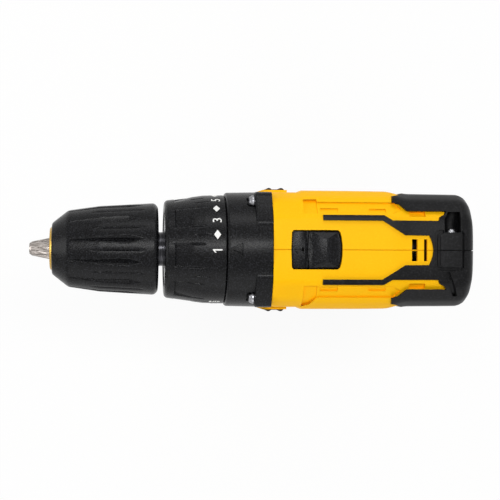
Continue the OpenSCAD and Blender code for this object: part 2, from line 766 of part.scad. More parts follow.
// The pressure washer and the pins that hold the third ring gear against the clutch spring
module clutch_pins() {
    color(STEEL) {
        difference() {
            tube(washer_x0, washer_x0 + washer_t, clutch_nut_r, neck_r + fit);
            round_axis(3) block([washer_x0 - 1, -key_w - fit, axis_h + neck_r - 1],
                [washer_x0 + washer_t + 1, key_w + fit, axis_h + neck_r + key_t + fit]);
        }
        round_axis(6, 30) translate([washer_x0 + washer_t + 0.05, 0, axis_h + pin_circle_r]) rotate([0, 90, 0])
            cylinder(h = x_ring_3_start - 0.1 - (washer_x0 + washer_t + 0.05), r = clutch_pin_r);
    }
}
x_ring_3_start = x_planet_3 - 0.6;

// ---------- gear case and gears ----------

module case_lug(y, z) {
    translate([x_body - 8, 0, axis_h]) rotate([0, 90, 0]) hull() {
        translate([-z, y, 0]) cylinder(h = 8 - fit, r = 4.6, $fn = 32);
        translate([-z * 1.41, y * 0.55, 0.4]) cylinder(h = 7.6 - fit, r = 3.1, $fn = 32);
    }
}

module gear_case() {
    neck_end = bearing_x0 + bearing_len;
    color(BLACK) difference() {
        union() {
            // the neck, the front wall and the drum
            tube(bearing_x0, x_case + case_wall_t, neck_r, 3);
            round_axis(3) block([lip_x0 + 1.2 + run, -key_w, axis_h + neck_r - 1], [x_case + 1, key_w,
                axis_h + neck_r + key_t]);
            turned([
                [x_case, 3], [x_case, case_r - 0.6], [x_case + 0.8, case_r - 0.2], [x_case + 12, case_r],
                [x_body - fit, case_r + 0.2], [x_body - fit, 3]
            ]);
            rod(x_body - 1, x_motor_plate + motor_plate_t, case_tail_r);
            // corner lugs for the four screws
            for (y = [-lug_y, lug_y], z = [-lug_z, lug_z]) case_lug(y, z);
        }
        rod(neck_end, x_case + case_wall_t + 1, journal_r + run);
        rod(bearing_x0 - 1, neck_end, bearing_r);
        rod(x_case + case_wall_t, x_motor_plate - fit, case_in_r);
        rod(x_motor_plate - 1, x_motor_plate + motor_plate_t + 1, case_in_r + 0.6);
        // holes for the clutch pins
        round_axis(6, 30) translate([x_case - 5, 0, axis_h + pin_circle_r]) rotate([0, 90, 0])
            cylinder(h = case_wall_t + 8, r = clutch_pin_r + 0.15);
        // holes for the screws, with room for their heads
        for (y = [-lug_y, lug_y], z = [-lug_z, lug_z]) {
            translate([x_body - 20, y, axis_h + z]) rotate([0, 90, 0]) cylinder(h = 30, r = case_screw_r + 0.1);
            translate([x_body - 20, y, axis_h + z]) rotate([0, 90, 0]) cylinder(h = 12, r = 3.6);
        }
        // flat seats for the body's ears
        for (side = [-1, 1]) mirror([0, side < 0 ? 1 : 0, 0])
            block([x_body - ear_len - fit, ear_y - fit, axis_h + bumper_z0 - 0.9],
                [x_body + 1, big, axis_h + bumper_z1 + 0.9]);
        // slot for the shift fork's post
        block([fork_x - shift_travel - fork_t / 2 - 0.35, -2, axis_h + 18], [fork_x + fork_t / 2 + 0.35, 2,
            axis_h + 30]);
    }
}

module case_screws() {
    head_x = x_body - 8 - 3;
    color(STEEL) for (y = [-lug_y, lug_y], z = [-lug_z, lug_z]) translate([head_x, y, axis_h + z])
        rotate([0, 90, 0]) difference() {
            union() {
                cylinder(h = 3, r = 3.3);
                translate([0, 0, 2.5]) cylinder(h = 14, r = case_screw_r);
            }
            translate([0, 0, -1]) cylinder(h = 2.6, r = 1.9, $fn = 6);
        }
}

module ring_gear_1() {
    color(STEEL) ring_gear(teeth_ring_1, module_1, x_ring_1, x_planet_1 + face_1 + 0.3, ring_r);
}

module ring_gear_2() {
    color(STEEL) difference() {
        ring_gear(teeth_ring_2, module_2, x_ring_2, x_ring_2 + ring_2_len, ring_r);
        tube(fork_x - fork_t / 2 - 0.1, fork_x + fork_t / 2 + 0.1, ring_r + 2, fork_groove_r);
    }
}

module ring_gear_3() {
    color(STEEL) ring_gear(teeth_ring_2, module_2, x_ring_3_start, x_ring_3_end, ring_r);
}

module carrier_1() {
    color(STEEL) difference() {
        union() {
            carrier(x_carrier_1, carrier_t, orbit_1, face_1, false);
            along_x(x_planet_2 + 0.2) spur(teeth_sun_2, module_2, x_carrier_1 - x_planet_2, 1);
        }
        rod(x_planet_2 - 2, x_planet_1 + 1, motor_shaft_r + 0.6);
    }
}

module carrier_2() {
    color(STEEL) difference() {
        union() {
            carrier(x_carrier_2, carrier_t, orbit_2, face_2, true);
            along_x(x_planet_3 + 0.2) spur(teeth_sun_2, module_2, x_carrier_2 - x_planet_3, 1);
        }
        rod(x_planet_3 - 2, x_planet_2 + 1, 2);
    }
}

module carrier_3() {
    color(STEEL) difference() {
        carrier(x_carrier_3, carrier_3_t, orbit_2, face_3, true);
        rod(x_carrier_3 - 1, x_carrier_3 + carrier_3_t + 1, journal_r - 1);
    }
}

module planet_1(i) {
    color(STEEL) planet(teeth_planet_1, teeth_ring_1, module_1, orbit_1, x_planet_1, face_1, i);
}

module planet_2(i) {
    color(STEEL) planet(teeth_planet_2, teeth_ring_2, module_2, orbit_2, x_planet_2, face_2, i);
}

module planet_3(i) {
    color(STEEL) planet(teeth_planet_2, teeth_ring_2, module_2, orbit_2, x_planet_3, face_3, i);
}

module motor_plate() {
    color(DARK_STEEL) tube(x_motor_plate, x_motor_plate + motor_plate_t, case_in_r + 0.5, 7.6);
}

// The fork rides in the groove of the second ring gear, and its post reaches up to the selector
module shift_fork() {
    color(STEEL) union() {
        intersection() {
            tube(fork_x - fork_t / 2, fork_x + fork_t / 2, case_in_r - run, fork_groove_r + 0.15);
            block([-big, -big, axis_h - 4], [big, big, big]);
        }
        block([fork_x - fork_t / 2, -1.6, axis_h + fork_groove_r + 0.6],
            [fork_x + fork_t / 2, 1.6, selector_z + 0.05]);
    }
}

module speed_selector() {
    x0 = window_x0 + 0.15 + shift_travel;
    x1 = x0 + selector_grip;
    top = axis_h + body_top + selector_proud;
    color(BLACK) difference() {
        union() {
            // the plate that slides under the window, front and back
            block([x0 - shift_travel - 0.6, -selector_w, selector_z], [x1 + shift_travel + 0.6, selector_w,
                selector_z + selector_t]);
            hull() {
                pad((x0 + x1) / 2, 0, selector_grip / 2, selector_w, 1.5, selector_z, top - 2);
                pad((x0 + x1) / 2, 0, selector_grip / 2 - 0.6, selector_w - 0.6, 1.5, selector_z, top - 1);
            }
            // its hipped top, with the ridge across
            hull() {
                block([x0 + 2, -selector_w + 0.5, top - 2.4], [x1 - 2.4, selector_w - 0.5, top - 1.6]);
                block([x0 + 8.1, -4.9, top - 0.4], [x0 + 8.7, 4.9, top]);
            }
        }
        block([fork_x - fork_t / 2 - 0.1, -1.7, selector_z - 1],
            [fork_x + fork_t / 2 + 0.1, 1.7, selector_z + 0.05]);
    }
}

// ---------- motor ----------

module motor_can() {
    color(DARK_STEEL) difference() {
        turned([
            [x_motor, 0], [x_motor, motor_r - 1], [x_motor + 1, motor_r], [x_motor_end, motor_r], [x_motor_end, 0]
        ]);
        rod(x_motor + motor_wall, x_motor_end + 1, motor_r - motor_wall);
        rod(x_motor - 1, x_motor + 5, motor_shaft_r + 0.05);
        round_axis(4, 45) translate([x_motor - 1, -3, axis_h + 9]) cube([5, 6, 4.4]);
    }
}

module motor_magnets() {
    color("#3a3a3e") for (side = [0, 180]) round_axis(1, side) intersection() {
        tube(core_x0 - 1, core_x0 + core_len + 2, magnet_r, magnet_r - magnet_t);
        block([-big, -13, axis_h], [big, 13, axis_h + 30]);
    }
}

// The shaft carries the pinion that is the first stage's sun gear
module motor_shaft() {
    color(STEEL) union() {
        rod(x_planet_1 + 0.2, x_motor_end + 1.4, motor_shaft_r);
        along_x(x_planet_1 + 0.2) spur(teeth_sun_1, module_1, face_1, 1);
    }
}

// Laminated poles, copper windings and the commutator, pressed on the shaft
module armature_core() {
    color(COPPER) difference() {
        union() {
            rod(core_x0, core_x0 + core_len, armature_r);
            rod(core_x0 - 3, core_x0 + core_len + 3, armature_r - 2.2);
            rod(core_x0 + core_len + 2.9, commutator_x0 + 0.2, commutator_r - 1);
            rod(commutator_x0, commutator_x0 + commutator_len, commutator_r);
        }
        rod(core_x0 - 5, x_motor_end, motor_shaft_r);
        round_axis(10) block([core_x0 - 1, -0.7, axis_h + armature_r - 2.3],
            [core_x0 + core_len + 1, 0.7, axis_h + armature_r + 2]);
        round_axis(10, 18) block([commutator_x0 - 0.1, -0.2, axis_h + commutator_r - 0.8],
            [commutator_x0 + commutator_len + 1, 0.2, axis_h + commutator_r + 1]);
    }
}

module motor_fan() {
    color(BLACK) difference() {
        union() {
            rod(fan_x0, fan_x0 + fan_len, 6);
            rod(fan_x0, fan_x0 + 1, magnet_r - 1.4);
            round_axis(9) block([fan_x0, -0.5, axis_h + 5], [fan_x0 + fan_len, 0.5, axis_h + magnet_r - 2]);
        }
        rod(fan_x0 - 1, fan_x0 + fan_len + 1, motor_shaft_r);
    }
}

module motor_brushes() {
    color("#2f2a28") for (side = [0, 180]) round_axis(1, side)
        block([commutator_x0 + 2, -2, axis_h + commutator_r + 0.1], [commutator_x0 + 7, 2, axis_h + 15.8]);
}

// The end cap holds the brushes and the rear bearing
module motor_end_cap() {
    color(BLACK) difference() {
        union() {
            rod(x_motor_end - motor_end_t, x_motor_end, motor_r - motor_wall - fit);
            rod(x_motor_end - 0.5, x_motor_end + 2.6, 8);
            for (side = [0, 180]) round_axis(1, side)
                block([commutator_x0 + 0.8, -3.2, axis_h + commutator_r + 2],
                    [x_motor_end - 1, 3.2, axis_h + motor_r - motor_wall - 0.3]);
        }
        rod(x_motor_end - 8, x_motor_end + 1.8, motor_shaft_r + 0.05);
        for (side = [0, 180]) round_axis(1, side)
            block([commutator_x0 + 1.9, -2.1, axis_h + commutator_r], [commutator_x0 + 7.1, 2.1, axis_h + 15.9]);
    }
}

// ---------- body shells, grips and screws ----------

// What is cut from both shells: windows, vents, bores and pockets
module shell_cuts() {
    // the gear case's seat, and its four screws
    rod(x_body - 20, x_motor_plate + motor_plate_t + 0.5, case_tail_r + fit);
    for (y = [-lug_y, lug_y], z = [-lug_z, lug_z])
        translate([x_body - 5, y, axis_h + z]) rotate([0, 90, 0]) cylinder(h = 15, r = case_screw_r);
    // the selector's window
    pad(window_x0 + window_len / 2, 0, window_len / 2, window_w, 1.6, axis_h + 20, axis_h + 40);
    // the channel that the selector's plate slides in
    block([x_body - 1, -selector_w - 0.4, axis_h + case_tail_r - 1],
        [window_x0 + window_len + shift_travel + 1.4, selector_w + 0.4, selector_z + selector_t + 0.35]);
    // the vents over the motor's rear
    for (v = [[66, 2.6], [71.2, 1.5]])
        block([x_body + v[0] - v[1] / 2, -vent_w, axis_h + motor_r + 0.6],
            [x_body + v[0] + v[1] / 2, vent_w, axis_h + 40]);
    // side vents beside the motor
    for (side = [-1, 1], i = [0 : 3])
        slot([x_rear - 34 + i * 5, side * 30, axis_h - 8], [x_rear - 34 + i * 5, side * 30, axis_h + 4], 1.1, 20,
            [1, 0, 0]);
    // the trigger's mouth
    block([trigger_x0 - 2, -trigger_w - 0.4, trigger_z0 - 0.5], [handle_x - 6, trigger_w + 0.4, trigger_z1 + 0.5]);
    // the direction lever's way through
    block([lever_x - lever_len / 2 - 0.4, -big, lever_z - lever_h / 2 - 0.4],
        [lever_x + lever_len / 2 + 0.4, big, lever_z + lever_h / 2 + 0.4]);
    // the lamp's seat
    translate([chin_x0 - 5, 0, lamp_z]) rotate([0, 90, 0]) cylinder(h = 14, r = lamp_r + 0.1, $fn = 32);
    // the battery's rail channel, open at the rear
    block([rail_x0 - 0.5, -rail_w - 0.4, foot_z + rail_lip], [big, rail_w + 0.4, foot_z + rail_h + 0.8]);
    block([rail_x0 - 0.5, -rail_neck_w - 0.4, foot_z - 5], [big, rail_neck_w + 0.4, foot_z + rail_h]);
    block([latch_x0 - 2, -latch_w - 0.6, foot_z - 5], [big, latch_w + 0.6, foot_z + 8]);
    // the terminal block's opening
    block([rail_x0 + 5.9, -12.1, foot_z + rail_h], [rail_x0 + 22.1, 12.1, foot_z + rail_h + wall + 3]);
    // pockets for the side bumpers
    for (side = [-1, 1]) mirror([0, side < 0 ? 1 : 0, 0])
        bumper_room(fit);
    // seats for the belt hook's inserts
    for (side = [-1, 1]) translate([hook_x, side * (foot_w + 3), hook_z]) rotate([side * 90, 0, 0])
        cylinder(h = 3 + hook_len + fit, r = hook_r + 0.02, $fn = 32);
}
vent_w = 5.1;

// The ears that the flanks reach forward beside the gear case, and the bumpers on them
ear_len = 5.5;
ear_y = body_w - 1.2;
bumper_x0 = x_body - 1.6;
bumper_len = 10.4;
bumper_y = body_w - 2.5;
bumper_floor = body_w - 0.1;
bumper_z0 = -9;
bumper_z1 = 6;
hook_x = battery_mid - foot_a + 24;
hook_z = foot_z + 5.6;
hook_r = 3.2;
hook_len = 9;

// What stands inside the shells: the screw posts and the seats of the belt hook's inserts
module body_ribs() {
    for (at = shell_screw_at) translate([at[0], 0, at[1]]) rotate([90, 0, 0])
        cylinder(h = 120, r = shell_screw_r + 2, center = true, $fn = 16);
    for (y = [-lug_y, lug_y], z = [-lug_z, lug_z]) translate([x_body, y, axis_h + z]) rotate([0, 90, 0])
        cylinder(h = 13, r = 4.4, $fn = 24);
    for (side = [-1, 1]) translate([hook_x, side * (foot_w - hook_len / 2 - 1.4), hook_z])
        rotate([90, 0, 0]) cylinder(h = hook_len + 2, r = hook_r + 1.6, $fn = 24, center = true);
}

module shell_solid() {
    difference() {
        union() {
            body_outer();
            ears();
        }
        difference() {
            body_inner();
            body_ribs();
            ears();
        }
        shell_cuts();
        // clear the motor of posts and walls
        rod(x_motor, x_motor_end + 3, motor_r + 0.15);
    }
}

module right_shell() {
    color(YELLOW) difference() {
        intersection() {
            shell_solid();
            block([-big, seam, -big], [big, big, big]);
        }
        for (at = shell_screw_at) {
            translate([at[0], -1, at[1]]) rotate([-90, 0, 0]) cylinder(h = 60, r = shell_screw_r + 0.1, $fn = 24);
            translate([at[0], head_seat_y, at[1]]) rotate([-90, 0, 0])
                cylinder(h = 60, r = screw_head_r + 0.4, $fn = 24);
        }
    }
}

module left_shell() {
    color(YELLOW) difference() {
        intersection() {
            shell_solid();
            block([-big, -big, -big], [big, -seam, big]);
        }
        for (at = shell_screw_at)
            translate([at[0], 1, at[1]]) rotate([90, 0, 0])
                cylinder(h = screw_reach + 2, r = shell_screw_r + 0.05, $fn = 24);
    }
}

module shell_screws() {
    color(STEEL) for (at = shell_screw_at) translate([at[0], head_seat_y, at[1]]) rotate([90, 0, 0]) difference() {
        union() {
            translate([0, 0, -screw_head_t]) cylinder(h = screw_head_t, r = screw_head_r);
            cylinder(h = head_seat_y + screw_reach, r = shell_screw_r);
        }
        translate([0, 0, -screw_head_t - 1]) cylinder(h = 2.2, r = 1.4, $fn = 6);
    }
}

// Outlines of the rubber, seen from above: [x, y] on the right half
stripe_x0 = x_body + 22.8;
bend_x = x_body + 51.3;
flank_x = x_body + 63.4;
band_x = x_body + 61.4;
tongue_x = x_body + 72.7;
function rubber_top() = [
    [stripe_x0, 13.7], [stripe_x0, 16.2], [bend_x, 16.2], [bend_x + 4.1, 13.8], [x_body + 77.3, 13.8],
    [x_body + 78.1, 15.6], [x_body + 80.5, 16.8], [x_body + 81.6, 18.3], [x_body + 62.6, 18.3],
    [x_body + 60.4, 20.3], [x_body + 59, 21.6], [x_body + 55.7, 21.9], [x_body + 56.5, 25.4],
    [flank_x - 2.2, 26.3], [flank_x, 26.7], [flank_x, big], [x_rear + 10, big], [x_rear + 10, -1],
    [tongue_x + 2.2, -1], [tongue_x + 1.8, 2.5], [tongue_x, 6.9], [band_x, 7], [bend_x - 0.6, 13.7]
];

// The regions that rubber covers on the right-hand side: the barrel's rear and the handle
module grip_regions() {
    difference() {
        union() {
            translate([0, 0, axis_h - 2]) linear_extrude(big) polygon(rubber_top());
            block([flank_x, 0, chin_z - 4], [big, big, axis_h - 1]);
            block([handle_x + 3, 0, foot_top + 6], [big, big, handle_top - 13]);
            block([-big, handle_w - 4.6, foot_top + 20], [handle_x + 4, big, trigger_z0 - 4]);
        }
        block([-big, -1, -big], [big, seam, big]);
        // the side vents stay open through the rubber
        block([x_rear - 36, body_w - 10, axis_h - 10.5], [x_rear - 16.6, big, axis_h + 6.6]);
    }
}

// The rubber itself, inside the regions given as children
module grip_solid() {
    difference() {
        intersection() {
            union() {
                barrel(grip_t);
                handle(grip_t);
                // the pad in the middle of the rear cap
                intersection() {
                    barrel(grip_t + 0.8);
                    block([x_body + 77.9, -8, axis_h + motor_r], [x_body + 88.3, 8, big]);
                }
            }
            children();
        }
        body_outer();
        shell_cuts();
    }
}

module right_grip() {
    color(RUBBER) difference() {
        grip_solid() grip_regions();
        for (at = shell_screw_at) translate([at[0], head_seat_y, at[1]]) rotate([-90, 0, 0])
            cylinder(h = 60, r = screw_head_r + 0.5, $fn = 24);
    }
}

module left_grip() {
    color(RUBBER) grip_solid() mirror([0, 1, 0]) grip_regions();
}

// Rubber bumpers in pockets on the flanks, with a rib at each end
module side_bumpers() {
    color(RUBBER) for (side = [-1, 1]) mirror([0, side < 0 ? 1 : 0, 0]) intersection() {
        bumper_room(0);
        union() {
            block([-big, 0, -big], [big, body_w + 0.5, big]);
            for (x = [bumper_x0 + 1.5, bumper_x0 + bumper_len - 1.5])
                translate([x, body_w - 0.3, axis_h + bumper_z0]) cylinder(h = bumper_z1 - bumper_z0, r = 1.5);
        }
    }
}

// ---------- controls ----------

module trigger() {
    deep = handle_x - handle_a + 4;
    color(BLACK) difference() {
        union() {
            hull() {
                block([trigger_x0 + 1.6, -trigger_w + 2, trigger_z0 + 1], [deep, trigger_w - 2, trigger_z1 - 1]);
                block([trigger_x0 + 4.6, -trigger_w, trigger_z0], [deep, trigger_w, trigger_z1]);
            }
            block([deep - 1, -3, (trigger_z0 + trigger_z1) / 2 + 4],
                [switch_x0 + 5.5, 3, (trigger_z0 + trigger_z1) / 2 + 10]);
        }
        // the finger's hollow
        translate([trigger_x0 - 9.6, 0, (trigger_z0 + trigger_z1) / 2 - 4]) rotate([90, 0, 0])
            cylinder(h = 60, r = 13.6, center = true, $fn = 64);
    }
}

module trigger_switch() {
    zc = (trigger_z0 + trigger_z1) / 2;
    color("#3b3f46") difference() {
        block([switch_x0 + 4, -9, trigger_z0 + 1], [switch_x0 + switch_len, 9, trigger_z1 + 1.7]);
        block([switch_x0 + 3, -3.4, zc + 3.6], [switch_x0 + 16, 3.4, zc + 10.4]);
        translate([switch_x0 + 3, 0, zc - 6]) rotate([0, 90, 0]) cylinder(h = 6, r = 3.2);
    }
}

module trigger_spring() {
    zc = (trigger_z0 + trigger_z1) / 2;
    color(STEEL) translate([handle_x - handle_a + 4.1, 0, zc - 6]) rotate([0, 90, 0])
        coil_spring(2.4, 0.4, 5, switch_x0 + 8.8 - (handle_x - handle_a + 4.1));
}

module direction_lever() {
    reach = handle_w + 1.2 + lever_out;
    color(BLACK) difference() {
        hull() {
            block([lever_x - lever_len / 2, -reach + 1.4, lever_z - lever_h / 2 + 1],
                [lever_x + lever_len / 2, reach - 1.4, lever_z + lever_h / 2 - 1]);
            block([lever_x - lever_len / 2 + 1, -reach + 1, lever_z - lever_h / 2],
                [lever_x + lever_len / 2 - 1, reach - 1, lever_z + lever_h / 2]);
            block([lever_x - lever_len / 2 + 2, -reach, lever_z - lever_h / 2 + 1.6],
                [lever_x + lever_len / 2 - 2, reach, lever_z + lever_h / 2 - 1.6]);
        }
    }
}

module work_lamp() {
    color(WHITE) {
        translate([chin_x0 + 0.4, 0, lamp_z]) rotate([0, 90, 0]) cylinder(h = 8, r = lamp_r);
        translate([chin_x0 + 0.8, 0, lamp_z]) sphere(r = lamp_r - 0.3);
    }
}

module terminal_block() {
    color(BLACK) union() {
        block([rail_x0 + 6, -12, foot_z + rail_h + 0.9], [rail_x0 + 22, 12, foot_z + rail_h + wall + 1.4]);
    }
    color(BRASS) for (y = [-8, -3, 3, 8])
        block([rail_x0 + 8, y - 0.4, foot_z + 1.6], [rail_x0 + 20, y + 0.4, foot_z + rail_h + 1]);
}

module hook_inserts() {
    color(BRASS) for (side = [-1, 1]) translate([hook_x, side * foot_w, hook_z]) rotate([side * 90, 0, 0])
        difference() {
            translate([0, 0, 0.2]) cylinder(h = hook_len - 0.2, r = hook_r);
            translate([0, 0, -1]) cylinder(h = hook_len - 0.6, r = hook_hole_r);
        }
}

// ---------- battery ----------

split_z = battery_h - lid_h;

// The case's outline from above, shrunk by inset
module battery_outline(inset) {
    a = battery_len / 2 - inset;
    b = battery_w - inset;
    front = 9 - inset;
    rear = 6 - inset;
    translate([battery_mid, 0]) {
        translate([-a + front, -b]) square([2 * a - front - rear, 2 * b]);
        translate([-a, -b + front]) square([a, 2 * (b - front)]);
        translate([0, -b + rear]) square([a, 2 * (b - rear)]);
        for (y = [-1, 1]) {
            translate([-a + front, y * (b - front)]) circle(r = front);
            translate([a - rear, y * (b - rear)]) circle(r = rear);
        }
    }
}

module battery_tub() {
    color(BLACK) difference() {
        union() {
            difference() {
                union() {
                    translate([0, 0, 1.6]) linear_extrude(split_z - 1.6) battery_outline(0);
                    linear_extrude(2) battery_outline(1.4);
                }
                translate([0, 0, battery_wall]) linear_extrude(split_z) battery_outline(battery_wall);
            }
            for (p = battery_screw_at) translate([p[0], p[1], battery_wall - 0.5])
                cylinder(h = split_z - battery_wall + 0.5, r = 3);
        }
        for (p = battery_screw_at) translate([p[0], p[1], -1]) {
            cylinder(h = split_z + 2, r = 1.3 + fit / 2);
            cylinder(h = 2.6, r = 2.5);
        }
    }
}

battery_screw_at = [for (x = [battery_x0 + 9.5, battery_x0 + battery_len - 8.6], y = [-1, 1])
    [x, y * (battery_w - 10)]];

module battery_lid() {
    color(BLACK) difference() {
        union() {
            translate([0, 0, split_z + fit]) linear_extrude(lid_h - fit) battery_outline(0);
            block([rail_x0, -rail_neck_w, battery_h - 1], [rail_x0 + rail_len, rail_neck_w, foot_z + rail_h - 0.4]);
            block([rail_x0, -rail_w, foot_z + rail_lip + 0.3], [rail_x0 + rail_len, rail_w, foot_z + rail_h - 0.4]);
        }
        translate([0, 0, split_z - 1]) linear_extrude(lid_h + 1 - battery_wall) battery_outline(battery_wall);
        // slots for the tool's contact blades
        for (y = [-8, -3, 3, 8]) block([rail_x0 - 1, y - 1, foot_z + 1], [rail_x0 + 21, y + 1, foot_z + 20]);
        // the latch's well at the rear
        block([latch_x0 - 0.4, -latch_w - 0.4, battery_h - 12.4],
            [battery_x0 + battery_len + 1, latch_w + 0.4, big]);
    }
    // the tray that the latch and its springs stand in
    color(BLACK) difference() {
        block([latch_x0 - 1.6, -latch_w - 1.6, battery_h - lid_h + 0.4], [battery_x0 + battery_len - 1, latch_w + 1.6,
            battery_h - 1]);
        block([latch_x0 - 0.4, -latch_w - 0.4, battery_h - lid_h + 1.6], [big, latch_w + 0.4, big]);
    }
}

// The latch's thumb piece and its catch, which drop when they are pressed
module battery_latch() {
    color(YELLOW) union() {
        block([latch_x0, -latch_w, battery_h - 5.4], [battery_x0 + battery_len - 0.4, latch_w, battery_h]);
        block([latch_x0, -latch_w + 3, battery_h - 0.5], [latch_x0 + 4, latch_w - 3, foot_z + 4.6]);
    }
}

module battery_cells() {
    color("#3c7a57") for (row = [0, 1], i = [0 : 2 - row])
        translate([cell_x0, (i - 1 + row * 0.5) * cell_pitch,
            battery_wall + 0.2 + cell_r + row * cell_pitch * 0.872])
            rotate([0, 90, 0]) {
                cylinder(h = cell_len - 1.2, r = cell_r);
                translate([0, 0, cell_len - 1.3]) cylinder(h = 1.3, r = 3);
            }
}

module battery_screws() {
    color(STEEL) for (p = battery_screw_at) translate([p[0], p[1], 0.3]) {
        cylinder(h = 1.3, r = 2.4);
        cylinder(h = split_z - 2, r = 1.3);
    }
}

chuck_sleeve();
chuck_body();
nose_ring();
jaw(1);  // jaw_1
jaw(2);  // jaw_2
jaw(3);  // jaw_3
chuck_nut();
chuck_bearing();
spindle();
front_bearing();
torque_collar();
collar_retainer();
clutch_nut();
clutch_spring();
clutch_pins();
gear_case();
case_screws();
ring_gear_1();
ring_gear_2();
ring_gear_3();
carrier_1();
carrier_2();
carrier_3();
planet_1(0);  // planet_1a
planet_1(1);  // planet_1b
planet_1(2);  // planet_1c
planet_2(0);  // planet_2a
planet_2(1);  // planet_2b
planet_2(2);  // planet_2c
planet_3(0);  // planet_3a
planet_3(1);  // planet_3b
planet_3(2);  // planet_3c
motor_plate();
shift_fork();
speed_selector();
motor_can();
motor_magnets();
motor_shaft();
armature_core();
motor_brushes();
motor_fan();
motor_end_cap();
right_shell();
left_shell();
right_grip();
left_grip();
shell_screws();
side_bumpers();
trigger();
trigger_switch();
trigger_spring();
direction_lever();
work_lamp();
terminal_block();
hook_inserts();
battery_tub();
battery_lid();
battery_latch();
battery_cells();
battery_screws();
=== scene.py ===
"""The looks of a cordless drill driver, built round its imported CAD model.

Lengths are millimetres in the CAD frame, with the spindle along X and the chuck towards -X.
"""
import itertools
import math

import bmesh
import bpy
from mathutils import Matrix, Vector


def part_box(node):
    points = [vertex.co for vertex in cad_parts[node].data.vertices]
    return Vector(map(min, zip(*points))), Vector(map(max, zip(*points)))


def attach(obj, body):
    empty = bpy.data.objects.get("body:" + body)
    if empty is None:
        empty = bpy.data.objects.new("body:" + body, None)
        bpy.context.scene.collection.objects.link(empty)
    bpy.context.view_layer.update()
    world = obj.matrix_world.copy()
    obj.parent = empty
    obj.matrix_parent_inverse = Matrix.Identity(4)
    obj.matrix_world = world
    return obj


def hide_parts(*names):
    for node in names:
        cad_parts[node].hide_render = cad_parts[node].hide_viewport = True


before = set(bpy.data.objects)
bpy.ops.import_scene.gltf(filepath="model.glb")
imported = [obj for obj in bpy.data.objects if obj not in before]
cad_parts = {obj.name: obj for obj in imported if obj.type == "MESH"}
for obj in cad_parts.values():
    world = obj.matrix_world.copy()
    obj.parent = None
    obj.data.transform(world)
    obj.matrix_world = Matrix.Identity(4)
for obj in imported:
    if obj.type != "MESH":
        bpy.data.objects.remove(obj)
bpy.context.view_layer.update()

# ---- Camera ----
# It hangs above the chuck and looks down and a little back along the body, with the chuck to the left.
MM = 0.001


def put(name, data):
    """An object for a mesh, lamp or camera, in the scene."""
    holder = bpy.data.objects.new(name, data)
    bpy.context.scene.collection.objects.link(holder)
    return holder


def reach(node):
    """Lowest and highest corner of a CAD node at rest, in millimetres."""
    low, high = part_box(node)
    return low / MM, high / MM


sleeve_low, sleeve_high = reach("chuck_sleeve")
axis_z = (sleeve_low.z + sleeve_high.z) / 2
eye_y, eye_height = -0.25, 640
eye = Vector((sleeve_low.x + 29.7, eye_y, axis_z + eye_height))
aim = Vector((sleeve_low.x + 94, eye_y, axis_z))
camera = put("camera", bpy.data.cameras.new("camera"))
camera.data.lens = 96.5
look_back = (eye - aim).normalized()
look_right = Vector((-0.0048, 1, 0)).cross(look_back).normalized()
camera.matrix_world = Matrix.Translation(eye * MM) @ Matrix(
    (look_right, look_back.cross(look_right), look_back)
).transposed().to_4x4()
bpy.context.scene.camera = camera
bpy.context.scene.view_settings.view_transform = "Standard"

# ---- Studio ----
# A pale matt floor under a narrow overhead lamp, with large soft lamps at the sides and in front, as for a
# catalogue picture.


def linear(colour):
    """A linear RGBA colour from an sRGB hex value."""
    parts = [int(colour[i : i + 2], 16) / 255 for i in (1, 3, 5)]
    return [*(p / 12.92 if p <= 0.04045 else ((p + 0.055) / 1.055) ** 2.4 for p in parts), 1]


def feed(node, inputs):
    """Gives a node's inputs, by name or number, their values or the sockets that feed them."""
    for name, value in inputs.items():
        if isinstance(value, bpy.types.NodeSocket):
            node.id_data.links.new(value, node.inputs[name])
        else:
            node.inputs[name].default_value = value
    return node


def add_node(tree, kind, inputs=None, **settings):
    """Adds a node to a tree, with its settings and inputs."""
    added = tree.nodes.new(kind)
    for name, value in settings.items():
        setattr(added, name, value)
    return feed(added, inputs or {})


def shader_material(name, **sockets):
    """A material, its tree, its shader with the given even values, and its piece's own coordinates."""
    material = bpy.data.materials.new(name)
    material.use_nodes = True
    tree = material.node_tree
    even = {socket.replace("_", " "): value for socket, value in sockets.items()}
    shader = feed(tree.nodes["Principled BSDF"], even)
    return material, tree, shader, add_node(tree, "ShaderNodeTexCoord").outputs["Object"]


def show_white(tree, own, white_kind, output, share):
    """Shows white in a share of what the camera, a reflection or a clear part sees; own lights the rest."""
    rays = add_node(tree, "ShaderNodeLightPath").outputs
    seen = rays["Is Camera Ray"]
    for ray in ("Is Glossy Ray", "Is Transmission Ray"):
        seen = add_node(
            tree, "ShaderNodeMath", {0: seen, 1: rays[ray]}, operation="MAXIMUM"
        ).outputs["Value"]
    shown = add_node(tree, "ShaderNodeMath", {0: seen, 1: share}, operation="MULTIPLY")
    white = add_node(tree, white_kind, {"Color": linear("#ffffff"), "Strength": 1.0})
    mix = add_node(tree, "ShaderNodeMixShader", {0: shown.outputs["Value"], 1: own, 2: white.outputs[0]})
    feed(tree.nodes[output], {"Surface": mix.outputs["Shader"]})


def rippled(tree, shader, place, size, strength):
    """Gives an otherwise smooth surface fine waves of a size, in millimetres."""
    waves = add_node(tree, "ShaderNodeTexNoise", {"Vector": place, "Scale": 1 / (size * MM)})
    bump = add_node(
        tree, "ShaderNodeBump", {"Height": waves.outputs["Fac"], "Strength": strength, "Distance": 0.05 * MM}
    )
    feed(shader, {"Normal": bump.outputs["Normal"]})


